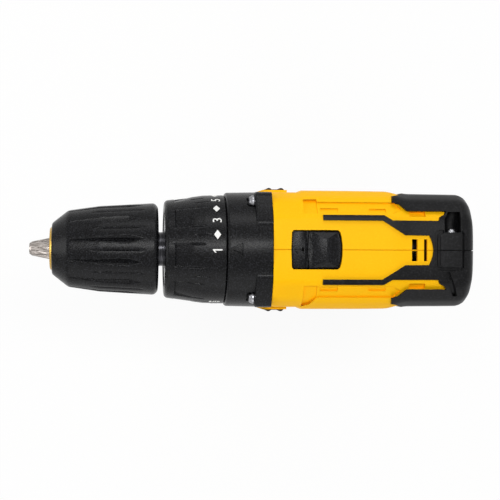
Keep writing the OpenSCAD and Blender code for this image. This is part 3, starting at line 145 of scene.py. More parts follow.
# Matt painted board: a faint roller texture, shown mostly as white paper, with a little of its own shading
floor_board, tree, shader, place = shader_material(
    "painted_board", Base_Color=linear("#f4f4f2"), Roughness=0.9
)
rippled(tree, shader, place, 3, 0.1)
show_white(tree, shader.outputs["BSDF"], "ShaderNodeEmission", "Material Output", 0.93)
floor_mesh = bpy.data.meshes.new("floor")
half = 4
floor_corners = [(-half, -half, 0), (half, -half, 0), (half, half, 0), (-half, half, 0)]
floor_mesh.from_pydata(floor_corners, [], [(0, 1, 2, 3)])
floor = put("floor", floor_mesh)
floor.data.materials.append(floor_board)

world = bpy.data.worlds.new("studio")
bpy.context.scene.world = world
world.use_nodes = True
tree = world.node_tree
world_light = feed(tree.nodes["Background"], {"Color": linear("#fbfbfd"), "Strength": 0.3})
show_white(tree, world_light.outputs["Background"], "ShaderNodeBackground", "World Output", 1)


def softbox(name, place, target, width, height, power):
    """A rectangular area lamp, aimed at a point; place and target in metres, power in watts."""
    lamp = bpy.data.lights.new(name, "AREA")
    lamp.shape = "RECTANGLE"
    lamp.size = width
    lamp.size_y = height
    lamp.energy = power
    way = Vector(target) - Vector(place)
    turn = way.to_track_quat("-Z", "Y").to_matrix().to_4x4()
    put(name, lamp).matrix_world = Matrix.Translation(place) @ turn


softbox("overhead", (0.0, 0.22, 1.45), (0, 0, 0.15), 0.9, 0.2, 9.5)
softbox("near_side", (0.0, -1.7, 0.8), (0, 0, 0.14), 2.4, 1.4, 12)
softbox("far_side", (0.2, 1.2, 0.8), (0, 0, 0.12), 1.0, 0.5, 5)
softbox("front", (-1.3, 0.1, 0.5), (-0.08, 0, 0.17), 0.7, 0.4, 4)

# ---- Chuck sleeve ----
# Glass-filled nylon, moulded over the chuck's nut: a cone in front and twelve tapered finger flutes
# that end in a kite shape. It turns on the chuck body and opens or closes the jaws.


def grained(tree, shader, grain, roughness, spread, strength, relief, edge):
    """Lets a grain stand out by relief and vary the roughness, and rounds the edges (mm)."""
    dull = add_node(
        tree, "ShaderNodeMapRange",
        {"Value": grain, "From Min": 0.3, "From Max": 0.7, "To Min": roughness - spread,
         "To Max": roughness + spread},
    )
    rounded_edge = add_node(tree, "ShaderNodeBevel", {"Radius": edge * MM}, samples=4)
    bump = add_node(
        tree, "ShaderNodeBump",
        {"Height": grain, "Strength": strength, "Distance": relief * MM,
         "Normal": rounded_edge.outputs["Normal"]},
    )
    feed(shader, {"Roughness": dull.outputs["Result"], "Normal": bump.outputs["Normal"]})


def plastic(name, colour, fleck, mottle, grain, relief, roughness, edge, gloss=0.12):
    """A moulded plastic with fine flecks, slow mottling, an eroded grain and rounded edges (mm)."""
    mottle_size = 14
    material, tree, shader, place = shader_material(name, Roughness=roughness, Specular_IOR_Level=gloss)
    speckle = add_node(
        tree, "ShaderNodeTexNoise",
        {"Vector": place, "Scale": 1 / (grain * MM), "Detail": 4.0, "Roughness": 0.65},
    ).outputs["Fac"]
    specks = add_node(
        tree, "ShaderNodeMapRange", {"Value": speckle, "From Min": 0.5, "From Max": 0.78, "To Max": 1.0}
    )
    slow = add_node(
        tree, "ShaderNodeTexNoise", {"Vector": place, "Scale": 1 / (mottle_size * MM), "Detail": 2.0}
    )
    base = add_node(
        tree, "ShaderNodeMix", {0: slow.outputs["Fac"], 6: linear(colour), 7: linear(mottle)},
        data_type="RGBA",
    )
    flecked = add_node(
        tree, "ShaderNodeMix", {0: specks.outputs["Result"], 6: base.outputs[2], 7: linear(fleck)},
        data_type="RGBA",
    )
    feed(shader, {"Base Color": flecked.outputs[2]})
    grained(tree, shader, speckle, roughness, 0.08, 1.0, relief, edge)
    return material


# Black glass-filled nylon, moulded against a spark-eroded tool: matt, with pale flecks. The real grain
# is about 0.1 mm and is drawn at 0.7 mm, so that it shows.
black_nylon = plastic(
    "black_glass_filled_nylon", "#070708", "#333438", "#0b0b0c", 0.7, 0.05, 0.29, 0.22, 0.12
)


def softened(points, radius, steps=4, closed=False):
    """A line with each corner eased by a curve that starts and ends about radius away from it."""
    count = len(points)
    corners = range(count) if closed else range(1, count - 1)
    line = [] if closed else [tuple(points[0])]
    for i in corners:
        before, corner, after = (Vector(points[k % count]) for k in (i - 1, i, i + 1))
        start = corner + (before - corner) * min(0.5, radius / (before - corner).length)
        end = corner + (after - corner) * min(0.5, radius / (after - corner).length)
        for k in range(steps + 1):
            t = k / steps
            line.append(tuple(start * (1 - t) ** 2 + corner * 2 * t * (1 - t) + end * t * t))
    return line if closed else [*line, tuple(points[-1])]


def filled(line, step):
    """The same line with extra points, so that no stretch is longer than step."""
    full = [tuple(line[0])]
    for a, b in zip(line, line[1:]):
        count = max(1, math.ceil(math.dist(a, b) / step))
        full += [tuple(p + (q - p) * k / count for p, q in zip(a, b)) for k in range(1, count + 1)]
    return full


def raw_piece(name, points, faces=()):
    """A mesh object straight from points in millimetres."""
    mesh = bpy.data.meshes.new(name)
    mesh.from_pydata([Vector(p) * MM for p in points], [], faces)
    return put(name, mesh)


def merged(piece, flatten=False):
    """Merges a piece's doubles, then turns its faces outwards or, to flatten, joins those in one plane."""
    shape = bmesh.new()
    shape.from_mesh(piece.data)
    bmesh.ops.remove_doubles(shape, verts=shape.verts, dist=0.002 * MM)
    if flatten:
        bmesh.ops.dissolve_limit(shape, angle_limit=math.radians(0.5), verts=shape.verts, edges=shape.edges)
    else:
        bmesh.ops.recalc_face_normals(shape, faces=shape.faces)
    shape.to_mesh(piece.data)
    shape.free()
    return piece


def bands(n, rows, ring=False):
    """Faces between neighbouring rows of n points; a ring joins the last row to the first."""
    pairs = [(j, (j + 1) % rows) for j in range(rows if ring else rows - 1)]
    return [
        (j * n + i, j * n + (i + 1) % n, k * n + (i + 1) % n, k * n + i) for j, k in pairs for i in range(n)
    ]


def about_spindle(x, radius, turn):
    """The point at x and a radius from the spindle, turned from +Z towards +Y."""
    return x, radius * math.sin(turn), axis_z + radius * math.cos(turn)


def turned(name, profile, angles, relief=None):
    """A ring about the spindle, from a closed loop of (x, radius) and the angles it is drawn at."""
    points = [
        about_spindle(x, radius + (relief(x, radius, angle) if relief else 0), math.radians(angle))
        for x, radius in profile for angle in angles
    ]
    return merged(raw_piece(name, points, bands(len(angles), len(profile), ring=True)))


def dress(piece, material, slot, body, *nodes, crease=32):
    """Shades a finished piece, gives it its material and joins it to its body."""
    mesh = piece.data
    mesh.materials.clear()
    mesh.materials.append(material)
    mesh.polygons.foreach_set("material_index", [0] * len(mesh.polygons))
    mesh.polygons.foreach_set("use_smooth", [True] * len(mesh.polygons))
    mesh.set_sharp_from_angle(angle=math.radians(crease))
    mesh.update()
    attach(piece, body)
    if nodes:
        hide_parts(*nodes)


def repeated_angles(first, count, half_steps):
    """Angles all round for a pattern of count equal parts, from the steps across half of one."""
    pitch = 360 / count
    steps = sorted({sign * a for sign in (-1, 1) for a in half_steps} | {-pitch / 2})
    return [first + k * pitch + a for k in range(count) for a in steps]


def line_dip(x, start, end, run_in, run_out, aside, depth, half):
    """Depth of a thin line from start to end that fades at both, at a distance aside from it."""
    fade = min(1, (x - start) / run_in, (end - x) / run_out)
    return depth * max(0, fade) * max(0, 1 - aside / half)


x_nose, x_sleeve = sleeve_low.x, sleeve_high.x
flute_count = 12
flute_pitch = 360 / flute_count
flute_first = 13
flute_front, flute_wide, flute_end = x_nose + 8.2, x_sleeve - 14, x_sleeve - 7
sleeve_bore, nut_r, skirt_r, thrust_x = 12.3, 16, 18.6, x_nose + 26.5


def flute_relief(x, radius, angle):
    """How far the sleeve's surface dips at a point, for the tapered flutes and the thin lines between."""
    if radius < nut_r or x < flute_front:
        return 0
    off = (angle - flute_first + flute_pitch / 2) % flute_pitch - flute_pitch / 2
    aside = math.radians(abs(off)) * radius
    if x < flute_wide:
        half = 0.4 + 1.5 * (x - flute_front) / (flute_wide - flute_front)
    else:
        half = 1.9 * max(0, (flute_end - x) / (flute_end - flute_wide))
    between = math.radians(flute_pitch / 2 - abs(off)) * radius
    return -max(0, half - aside) - line_dip(x, x_nose + 18, x_sleeve - 6.5, 6, 3, between, 0.55, 0.5)


sleeve_angles = repeated_angles(
    flute_first, flute_count, (0, 0.9, 1.9, 2.8, 3.7, 4.5, 5.4, 6.8, 9, 12, 13.9, 14.5)
)
sleeve_outer = filled(softened(
    [(x_nose, 11), (x_nose, 12.1), (x_nose + 7.6, 18.1), (x_nose + 22.4, 20.3), (x_sleeve - 1.7, 21.8),
     (x_sleeve, 20.1), (x_sleeve, skirt_r)], 1.1, 5,
), 0.7)
sleeve_inner = [(thrust_x, skirt_r), (thrust_x, nut_r), (x_nose + 17, nut_r), (x_nose + 17, sleeve_bore),
                (x_nose + 1.4, sleeve_bore), (x_nose + 1.4, 11)]
sleeve = turned("sleeve_moulding", sleeve_outer + sleeve_inner, sleeve_angles, flute_relief)
dress(sleeve, black_nylon, "black_nylon", "sleeve_group", "chuck_sleeve")

# ---- Nose ring, jaws and chuck body ----
# The jaws are three ground tool-steel pins. They slide in a turned steel body, and a thin zinc ring with a
# yellow passivated finish closes its nose.


def metal(name, colour, shade, roughness, grain, relief, stretch, edge=0.15):
    """A worked metal: tool marks run along the axis whose stretch is smallest, between two tones."""
    material, tree, shader, place = shader_material(name, Metallic=1.0, Roughness=roughness)
    along = add_node(tree, "ShaderNodeMapping", {"Vector": place, "Scale": stretch})
    marks = add_node(
        tree, "ShaderNodeTexNoise",
        {"Vector": along.outputs["Vector"], "Scale": 1 / (grain * MM), "Detail": 3.0, "Roughness": 0.6},
    ).outputs["Fac"]
    streaks = add_node(tree, "ShaderNodeMapRange", {"Value": marks, "From Min": 0.36, "From Max": 0.64})
    tones = add_node(
        tree, "ShaderNodeMix", {0: streaks.outputs["Result"], 6: linear(colour), 7: linear(shade)},
        data_type="RGBA",
    )
    feed(shader, {"Base Color": tones.outputs[2]})
    grained(tree, shader, marks, roughness, 0.1, 0.6, relief, edge)
    return material


# Ground tool steel: a brownish grey with lines along the jaw, left by the grinding wheel
ground_steel = metal("ground_tool_steel", "#c6beb8", "#5d5651", 0.33, 0.6, 0.02, (0.06, 1, 1))
# Zinc with yellow passivation: pale gold, satin
gold_zinc = metal("yellow_passivated_zinc", "#d9b45c", "#a98538", 0.34, 0.4, 0.01, (1, 1, 1))
# Turned steel with a black oxide finish: dark, with fine rings round the spindle
black_steel = metal("black_oxide_steel", "#4a4a4d", "#17171a", 0.24, 0.6, 0.02, (1, 0.05, 0.05))


def baked(piece):
    """The mesh that a piece's modifiers or its curve make."""
    bpy.context.view_layer.update()
    return bpy.data.meshes.new_from_object(piece.evaluated_get(bpy.context.evaluated_depsgraph_get()))


def settle(piece):
    """Turns a piece with its modifiers into a plain mesh."""
    mesh = baked(piece)
    piece.modifiers.clear()
    piece.data = mesh
    return piece


def chamfered(piece, width, segments=2, angle=35):
    """Rounds a piece's edges by width, in millimetres."""
    bevel = piece.modifiers.new("edge", "BEVEL")
    bevel.width = width * MM
    bevel.segments = segments
    bevel.limit_method = "ANGLE"
    bevel.angle_limit = math.radians(angle)
    bevel.harden_normals = False
    return settle(piece)


def rounded_copy(node, name, width, segments=2, angle=35):
    """A merged copy of a CAD node's mesh, with its edges rounded."""
    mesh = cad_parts[node].data.copy()
    mesh.name = name
    return chamfered(merged(put(name, mesh), flatten=True), width, segments, angle)


for index in (1, 2, 3):
    jaw = rounded_copy(f"jaw_{index}", f"ground_jaw_{index}", 0.12)
    dress(jaw, ground_steel, "machined_steel", f"jaw_body_{index}", f"jaw_{index}")

ring_low, ring_high = reach("nose_ring")
fine_angles = [k * 3 for k in range(120)]
nose_profile = [(ring_high.x, 7.2), (ring_low.x, 7.2), (ring_low.x, 9.6), (ring_high.x, ring_high.y),
                (ring_high.x, 8)]
nose = turned("nose_cap", softened(nose_profile, 0.25, 3, closed=True), fine_angles)
dress(nose, gold_zinc, "brass", "spindle_group", "nose_ring")


def finish_node(material, *nodes):
    """Gives CAD nodes that stay showing a material."""
    for node in nodes:
        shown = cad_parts[node]
        shown.data.materials.clear()
        shown.data.materials.append(material)


finish_node(black_steel, "chuck_body", "spindle", "collar_retainer", "clutch_nut", "motor_plate", "motor_can")
finish_node(ground_steel, "chuck_nut", "chuck_bearing", "front_bearing", "clutch_spring", "clutch_pins")

# ---- Torque collar ----
# Glass-filled nylon. It turns through eighteen clutch settings to the drilling setting: eight thumb pads
# slope down towards the front, and white marks are pad-printed round its rear.
collar_low, collar_high = reach("torque_collar")
x_collar, x_case = collar_low.x, collar_high.x + 0.3
pad_count = 8
pad_pitch = 360 / pad_count
pad_middle, pad_half, pad_depth = -7.3, 12.7, 1.05
pad_front, pad_rear = x_collar + 4.6, x_collar + 13.2


def collar_relief(x, radius, angle):
    """How far the collar's surface dips, for the sloping pads and the lines beside and between them."""
    if radius < 21.5 or x < x_collar + 2.5:
        return 0
    off = abs((angle - pad_middle + pad_pitch / 2) % pad_pitch - pad_pitch / 2)
    dip = 0
    if pad_front <= x <= pad_rear and off < pad_half:
        slope = (pad_rear - x) / (pad_rear - pad_front)
        dip += pad_depth * slope * min(1, math.radians(pad_half - off) * radius / 0.5)
    beside = abs(math.radians(off - pad_half) * radius)
    dip += line_dip(x, pad_front - 1, pad_rear + 6, 1.5, 3, beside, 0.5, 0.5)
    between = math.radians(pad_pitch / 2 - off) * radius
    return -dip - line_dip(x, pad_rear, pad_rear + 8, 2, 2, between, 0.36, 0.4)


collar_angles = repeated_angles(
    pad_middle, pad_count,
    (0, 3, 6, 9, 10.6, 11.3, 11.9, 12.3, 12.7, 13.1, 13.5, 14.1, 15.5, 17.5, 19.5, 20.8, 21.6, 22.1),
)
collar_outer = filled(softened(
    [(x_collar, 18), (x_collar, 22.2), (x_collar + 1, 23.2), (x_collar + 18.5, 25.65),
     (collar_high.x - 0.4, 25.88), (collar_high.x, 25.5), (collar_high.x, 21)], 0.5, 4,
), 0.6)
collar_inner = [(x_collar + 3, 19.9), (x_collar + 3, 18)]
collar = turned("collar_moulding", collar_outer + collar_inner, collar_angles, collar_relief)
dress(collar, black_nylon, "black_nylon", "collar", "torque_collar")

# White pad-printing ink: thin, satin, slightly uneven
white_ink, tree, shader, place = shader_material(
    "white_printing_ink", Roughness=0.5, Base_Color=linear("#f2f2ee")
)
ink_noise = add_node(tree, "ShaderNodeTexNoise", {"Vector": place, "Scale": 1 / (0.6 * MM)})
ink_tone = add_node(
    tree, "ShaderNodeMix", {0: ink_noise.outputs["Fac"], 6: linear("#f7f7f4"), 7: linear("#e2e2de")},
    data_type="RGBA",
)
feed(shader, {"Base Color": ink_tone.outputs[2]})


def glyph_faces(text, height):
    """Points (right, up) and faces of a flat piece of lettering, centred, of the given height."""
    curve = bpy.data.curves.new("glyph", "FONT")
    curve.body = text
    holder = put("glyph", curve)
    mesh = baked(holder)
    bpy.data.objects.remove(holder)
    xs, ys = [v.co.x for v in mesh.vertices], [v.co.y for v in mesh.vertices]
    grow = height / (max(ys) - min(ys))
    middle_x, middle_y = (max(xs) + min(xs)) / 2, (max(ys) + min(ys)) / 2
    points = [((x - middle_x) * grow, (y - middle_y) * grow) for x, y in zip(xs, ys)]
    return points, [tuple(f.vertices) for f in mesh.polygons]


mark_pitch, mark_first, settings = 16, -0.6, 18
mark_x, mark_r, mark_height = collar_high.x - 4.5, 25.9, 4.2
ink_thickness = 0.12
diamond = ([(-2.3, 0), (0, -1.6), (2.3, 0), (0, 1.6)], [(0, 1, 2, 3)])
# A figure one with its flag, which the selector shares
one_sign = (
    [(-0.3, -2.2), (0.35, -2.2), (0.35, 2.2), (-0.15, 2.2), (-1.25, 1.15), (-1.25, 0.5), (-0.3, 1.25)],
    [(0, 1, 2, 3, 4, 5, 6)],
)
# The drilling setting's sign: a twist bit, as its shank, two turns of the flute and its point
bit_sign = (
    [(-0.7, 2.6), (0.7, 2.6), (0.7, 1.5), (-0.7, 1.5), (-0.8, 1.1), (0.8, 0.6), (0.8, 0.1), (-0.8, 0.6),
     (-0.8, 0.1), (0.8, -0.4), (0.8, -0.9), (-0.8, -0.4), (-0.8, -0.9), (0.8, -1.4), (0, -2.6), (-0.8, -1.6)],
    [(3, 2, 1, 0), (7, 6, 5, 4), (11, 10, 9, 8), (12, 15, 14, 13)],
)
mark_points, mark_faces = [], []
for setting in range(settings + 1):
    if setting in (0, settings):
        sign_points, sign_faces = bit_sign if setting else one_sign
    else:
        sign_points, sign_faces = diamond if setting % 2 else glyph_faces(str(setting + 1), mark_height)
    mark_faces += [tuple(len(mark_points) + i for i in face) for face in sign_faces]
    for right, up in sign_points:
        turn = math.radians(mark_first + setting * mark_pitch) + right / mark_r
        mark_points.append(about_spindle(mark_x - up, mark_r, turn))


def sheet_solid(name, points, faces, thickness):
    """A flat shape as a closed solid, grown inwards from its outer face."""
    piece = raw_piece(name, points, faces)
    layer = piece.modifiers.new("layer", "SOLIDIFY")
    layer.thickness = thickness * MM
    layer.offset = -1
    return settle(piece)


numbers = sheet_solid("collar_numbers", mark_points, mark_faces, ink_thickness)
dress(numbers, white_ink, "black_nylon", "collar")

# ---- Gear case ----
# Glass-filled nylon. The round drum holds the gear train. Four lugs take the screws that clamp it to the
# body shells, and an engraved triangle on top points at the collar's setting.
bumper_low, bumper_high = reach("side_bumpers")
x_body = bumper_low.x + 1.6
plate_x = reach("motor_plate")[1].x
fork_low, fork_high = reach("shift_fork")
body_w = bumper_high.y - 1.2
bumper_end = bumper_high.x - 1.6
far = 300
above = axis_z + 40


def carve(piece, how, tools):
    """Adds, cuts or keeps what other solids cover, and removes them."""
    for tool in tools:
        step = piece.modifiers.new("carve", "BOOLEAN")
        step.operation = how
        step.solver = "MANIFOLD"
        step.object = tool
        settle(piece)
        bpy.data.objects.remove(tool)
    return piece


def joined(piece, *tools):
    """One solid from several that may overlap."""
    return carve(piece, "UNION", tools)


def cut(piece, *tools):
    return carve(piece, "DIFFERENCE", tools)


def within(piece, *tools):
    return carve(piece, "INTERSECT", tools)


def hull_of(name, points):
    """The convex solid round a cloud of points."""
    shape = bmesh.new()
    for p in points:
        shape.verts.new(Vector(p) * MM)
    bmesh.ops.convex_hull(shape, input=shape.verts)
    bmesh.ops.delete(shape, geom=[v for v in shape.verts if not v.link_faces], context="VERTS")
    bmesh.ops.recalc_face_normals(shape, faces=shape.faces)
    mesh = bpy.data.meshes.new(name)
    shape.to_mesh(mesh)
    shape.free()
    return put(name, mesh)


def disc(centre, radius, axis, steps=32):
    """Points of a circle about a centre, square to the axis 0, 1 or 2."""
    ring = []
    for k in range(steps):
        p = list(centre)
        turn = 2 * math.pi * k / steps
        p[(axis + 1) % 3] += radius * math.cos(turn)
        p[(axis + 2) % 3] += radius * math.sin(turn)
        ring.append(tuple(p))
    return ring


def round_hull(name, axis, circles, steps=32):
    """The convex solid round circles, each a centre and a radius, square to an axis."""
    return hull_of(name, [p for centre, radius in circles for p in disc(centre, radius, axis, steps)])


def peg(centre, radius, axis, length, tip=0.0, steps=32):
    """A round bar from a centre along an axis, with its far edge chamfered by tip."""
    circles = [(centre, radius)]
    for short, r in ((tip, radius), (0, radius - tip)) if tip else ((0, radius),):
        end = list(centre)
        end[axis] += length - math.copysign(short, length)
        circles.append((end, r))
    return round_hull("peg", axis, circles, steps)


def wedge(name, *boxes):
    """The convex solid round one or more boxes, each given by its lowest and highest corner."""
    return hull_of(name, [corner for box in boxes for corner in itertools.product(*zip(*box))])


def block(low, high):
    """A box between two corners."""
    return wedge("block", (low, high))


case_hub, case_bore, plate_r = 6.3, 21.2, 23.4
drum_profile = softened(
    [(x_case, 15.4), (x_case, 26.4), (x_case + 0.8, 27.1), (x_case + 12, 27.35), (x_body - 0.15, 27.55),
     (x_body - 0.15, plate_r), (plate_x, plate_r), (plate_x, case_bore)], 0.4, 3,
) + [(x_case + 3.5, case_bore), (x_case + 3.5, case_hub), (x_collar + 7.6, case_hub), (x_collar + 7.6, 12),
     (x_collar + 1.6, 12), (x_collar + 1.6, 15.4)]
drum = turned("gear_case_moulding", drum_profile, fine_angles)
screw_y, screw_z = 22.4, 16
lug_front, lug_rear = x_body - 8, x_body - 0.15
seats = [(side * screw_y, level * screw_z) for side in (-1, 1) for level in (-1, 1)]
for y, z in seats:
    seat, shoulder = (y, axis_z + z), (y * 0.55, axis_z + z * 1.41)
    joined(drum, round_hull("lug", 0, [((x, *spot), r) for x, spot, r in (
        (lug_rear, seat, 4.6), (lug_front + 0.5, seat, 4.6), (lug_front, seat, 4.1),
        (lug_rear, shoulder, 3.1), (lug_front + 0.9, shoulder, 3.1), (lug_front + 0.4, shoulder, 2.6),
    )]))
head_room = 3.6
for y, z in seats:
    cut(drum, peg((lug_front - head_room, y, axis_z + z), 3.7, 0, head_room),
        peg((lug_front - 1, y, axis_z + z), 1.7, 0, 12))
for side in (-1, 1):
    cut(drum, block((x_body - 5.65, side * (body_w - 1.35), bumper_low.z - 0.9),
                    (x_body + 1, side * 40, bumper_high.z + 0.9)))
# The slot for the shift fork's post and the holes for the clutch pins
cut(drum, block((fork_low.x - 7.75, -2, axis_z + 18), (fork_high.x + 0.35, 2, axis_z + 30)))
pin_count, pin_circle = 6, 18.4
for k in range(pin_count):
    pin_turn = math.radians(30 + 360 / pin_count * k)
    cut(drum, peg(about_spindle(x_case - 2, pin_circle, pin_turn), 1.55, 0, 8, steps=20))
# The engraved outline of a triangle, between an outer and an inner one
pointer_tip, pointer_foot = x_body - 21, x_body - 14.2
pointer = [hull_of("pointer", [(x, y, axis_z + z) for z in (20, 30) for x, y in (
    (pointer_tip + 2.3 * inset, 0), (pointer_foot - 0.9 * inset, 3 - 1.4 * inset),
    (pointer_foot - 0.9 * inset, 1.4 * inset - 3))]) for inset in (0, 1)]
under = peg((x_body - 25, 0, axis_z), 25.4, 0, 15, steps=96)
cut(drum, cut(pointer[0], pointer[1], under))
dress(drum, black_nylon, "black_nylon", "housing", "gear_case")

# ---- Body shells ----
# Two halves in yellow glass-filled nylon, screwed together along the middle. Each is a thin skin round the
# motor, gearbox and handle, with shallow panels on top, vents over the motor and ears beside the gear case.
yellow_nylon = plastic(
    "yellow_glass_filled_nylon", "#ffc009", "#ffc618", "#ffbc05", 0.8, 0.02, 0.5, 0.3, 0.07
)
rubber_low, rubber_high = reach("right_grip")
selector_low, selector_high = reach("speed_selector")
tub_low, tub_high = reach("battery_tub")
can_high = reach("motor_can")[1]
trigger_low, trigger_high = reach("trigger")
lever_low, lever_high = reach("direction_lever")
lamp_low, lamp_high = reach("work_lamp")
hook_low, hook_high = reach("hook_inserts")
hook_x, hook_z = (hook_low.x + hook_high.x) / 2, (hook_low.z + hook_high.z) / 2
latch_low, latch_high = reach("battery_latch")
lamp_z = (lamp_low.z + lamp_high.z) / 2
x_rear = rubber_high.x
body_top = selector_high.z - axis_z - 1.9
body_bottom = 27.4
wall, grip_t, seam = 2.4, 1.1, 0.005
handle_top = axis_z - body_bottom + 12
handle_x = x_body + 45.5
handle_a, handle_w, handle_rake = 20.2, 16.6, 9
foot_top = rubber_low.z - 6
foot_z = foot_top - 17
battery_mid = (tub_low.x + tub_high.x) / 2
foot_a, foot_w = (tub_high.x - tub_low.x) / 2 - 3.4, tub_high.y - 1
chin_x0, chin_z = x_body + 6, axis_z - body_bottom - 8.5
motor_r = can_high.z - axis_z
span = x_rear - grip_t - x_body
# Sections of the barrel: where along it, shares of its width, top and bottom, and whether it is in the rear
# dome, where an offset moves it back too
barrel_rows = [
    (x_body + x, w * body_w, top * body_top, bottom * body_bottom, in_dome)
    for x, w, top, bottom, in_dome in [
        (share * span, *shares, 0) for share, *shares in (
            (0, 0.955, 0.965, 0.93), (0.04, 0.967, 0.985, 0.97), (0.135, 0.967, 1, 1), (0.152, 1, 1, 1),
            (0.33, 1, 1.005, 1), (0.55, 0.995, 1, 1), (0.66, 0.918, 0.975, 0.985), (0.9, 0.91, 0.935, 0.95),
        )
    ] + [
        (span - back, *shares, 1) for back, *shares in (
            (8, 0.866, 0.885, 0.915), (6.2, 0.795, 0.82, 0.86), (4.5, 0.69, 0.64, 0.76),
            (1.6, 0.45, 0.27, 0.5), (0.4, 0.29, 0.11, 0.3), (0, 0.12, 0.05, 0.12),
        )
    ]
]
section = [(0.3, 1, 1), (0.57, 0.975, 1), (0.86, 0.75, 1), (1, 0.46, 1), (1, 0.36, -1), (0.84, 0.8, -1),
           (0.42, 0.985, -1)]
# Sections of the handle and the foot: height, middle, half length and half width
handle_rows = [
    (handle_top, handle_x + 1, handle_a + 5.4, handle_w + 3.4),
    (handle_top - 12, handle_x + 1, handle_a + 3.6, handle_w + 2),
    (handle_top - 22, handle_x + 1.6, handle_a + 0.6, handle_w + 0.5),
    ((handle_top + foot_top) / 2, handle_x + handle_rake * 0.5, handle_a, handle_w),
    (foot_top + 16, handle_x + handle_rake * 0.95, handle_a + 0.6, handle_w + 0.6),
    (foot_top + 7, handle_x + handle_rake * 0.9, handle_a + 3.4, handle_w + 2.4),
    (foot_top, handle_x + handle_rake * 0.5, handle_a + 11, handle_w + 6.4),
]
foot_rows = [
    (foot_top + 0.2, handle_x + handle_rake * 0.5, handle_a + 11, handle_w + 6.6),
    (foot_top - 4, battery_mid + 1, foot_a - 6, foot_w - 2.4), (foot_top - 8, battery_mid, foot_a, foot_w),
    (foot_z, battery_mid, foot_a, foot_w),
]


def smooth_rows(rows, step):
    """Rows that run smoothly through the given ones without overshooting, at most step apart."""
    gaps = [math.dist(a, b) for a, b in zip(rows, rows[1:])]
    slopes = [[(q - p) / gap for p, q in zip(a, b)] for a, b, gap in zip(rows, rows[1:], gaps)]
    lean = [slopes[0]]
    for a, b in zip(slopes, slopes[1:]):
        lean.append([2 * p * q / (p + q) if p * q > 0 else 0 for p, q in zip(a, b)])
    lean.append(slopes[-1])
    full = [rows[0]]
    for k, gap in enumerate(gaps):
        count = max(1, math.ceil(gap / step))
        for i in range(1, count + 1):
            t = i / count
            shares = (2 * t**3 - 3 * t**2 + 1, (t**3 - 2 * t**2 + t) * gap, 3 * t**2 - 2 * t**3,
                      (t**3 - t**2) * gap)
            ends = zip(rows[k], lean[k], rows[k + 1], lean[k + 1])
            full.append(tuple(sum(share * value for share, value in zip(shares, four)) for four in ends))
    return full


def eased(corners, share, steps):
    """A closed outline with each corner cut by a curve that takes up share of the sides beside it."""
    ring, count = [], len(corners)
    for i, corner in enumerate(corners):
        a, b = ([c + (n - c) * share for c, n in zip(corner, corners[k % count])] for k in (i - 1, i + 1))
        for k in range(steps + 1):
            t = k / steps
            ring.append(tuple(
                p * (1 - t) ** 2 + c * 2 * t * (1 - t) + q * t * t for p, c, q in zip(a, corner, b)
            ))
    return ring


def symmetric(half):
    """A closed outline from its half at +Y, mirrored about the middle plane."""
    return half + [(p, -q) for p, q in reversed(half) if q]


def loft(name, rings):
    """A closed solid through rings that have as many points each."""
    n, rows = len(rings[0]), len(rings)
    ends = [tuple(range(n)), tuple(range((rows - 1) * n, rows * n))]
    return merged(raw_piece(name, [p for ring in rings for p in ring], bands(n, rows) + ends))


def barrel(off=0.0, front=0.0):
    """The barrel's skin, moved outwards by off and lengthened in front."""
    rows = smooth_rows(barrel_rows if off >= 0 else barrel_rows[:-2], 2)
    rows[0] = (rows[0][0] - front, *rows[0][1:])
    rings = []
    for x, w, top, bottom, in_dome in rows:
        half = [
            (c * w + (off if c > 0.5 else 0), d * top + off if up > 0 else -d * bottom - off)
            for c, d, up in section
        ]
        corners = half + [(-y, z) for y, z in reversed(half)]
        rings.append([(x + in_dome * off, y, axis_z + z) for y, z in eased(corners, 0.3, 6)])
    return loft("barrel", rings)


def handle(off=0.0):
    """The handle's skin, moved outwards by off."""
    rings = []
    for z, x, a, b in smooth_rows(handle_rows, 2.5):
        a, b = a + off, b + off
        corners = symmetric([(a, b * 0.5), (a * 0.8, b), (-a * 0.72, b), (-a, b * 0.4)])
        rings.append([(x + p, q, z) for p, q in eased(corners, 0.36, 7)])
    return loft("handle", rings)


def foot(off=0.0):
    """The foot's skin, moved outwards by off; its lowest face never moves up."""
    rings = []
    for z, x, a, b in foot_rows:
        z, a, b = z + (min(0, -off) if z == foot_z else off), a + off, b + off
        corners = symmetric([(a, b - 7), (a - 7, b), (-a + 11, b), (-a, b - 11)])
        rings.append([(x + p, q, z) for p, q in eased(corners, 0.3, 6)])
    return loft("foot", rings)


def chin(off=0.0):
    """The two wedges under the barrel's front, which carry the lamp and cover the trigger's top."""
    back, top = handle_x - 10, axis_z - 14
    wedges = [
        wedge("chin", *(((x, -w - off, z), (back, w + off, top)) for x, w, z in fronts))
        for fronts in (
            ((chin_x0 - off, 9, chin_z + 2 - off), (chin_x0 + 4 - off, 7.4, chin_z - off)),
            ((chin_x0 + 12, 12.6, chin_z + 6 - off), (handle_x - 14, 15, chin_z - 2)),
        )
    ]
    return wedges if off else [chamfered(piece, 1.2, 3, 20) for piece in wedges]


def prism(outline, z0, z1):
    """An upright solid on a closed outline of (x, y)."""
    return loft("prism", [[(x, y, z) for x, y in outline] for z in (z0, z1)])


def copied(piece):
    return put(piece.name, piece.data.copy())


def dent(outline, depth):
    """What a panel takes off the barrel: the outline's prism, down to a skin that lies depth deep."""
    return cut(prism([(x_body + x, y) for x, y in outline], axis_z + 4, above), barrel(-depth, 4))


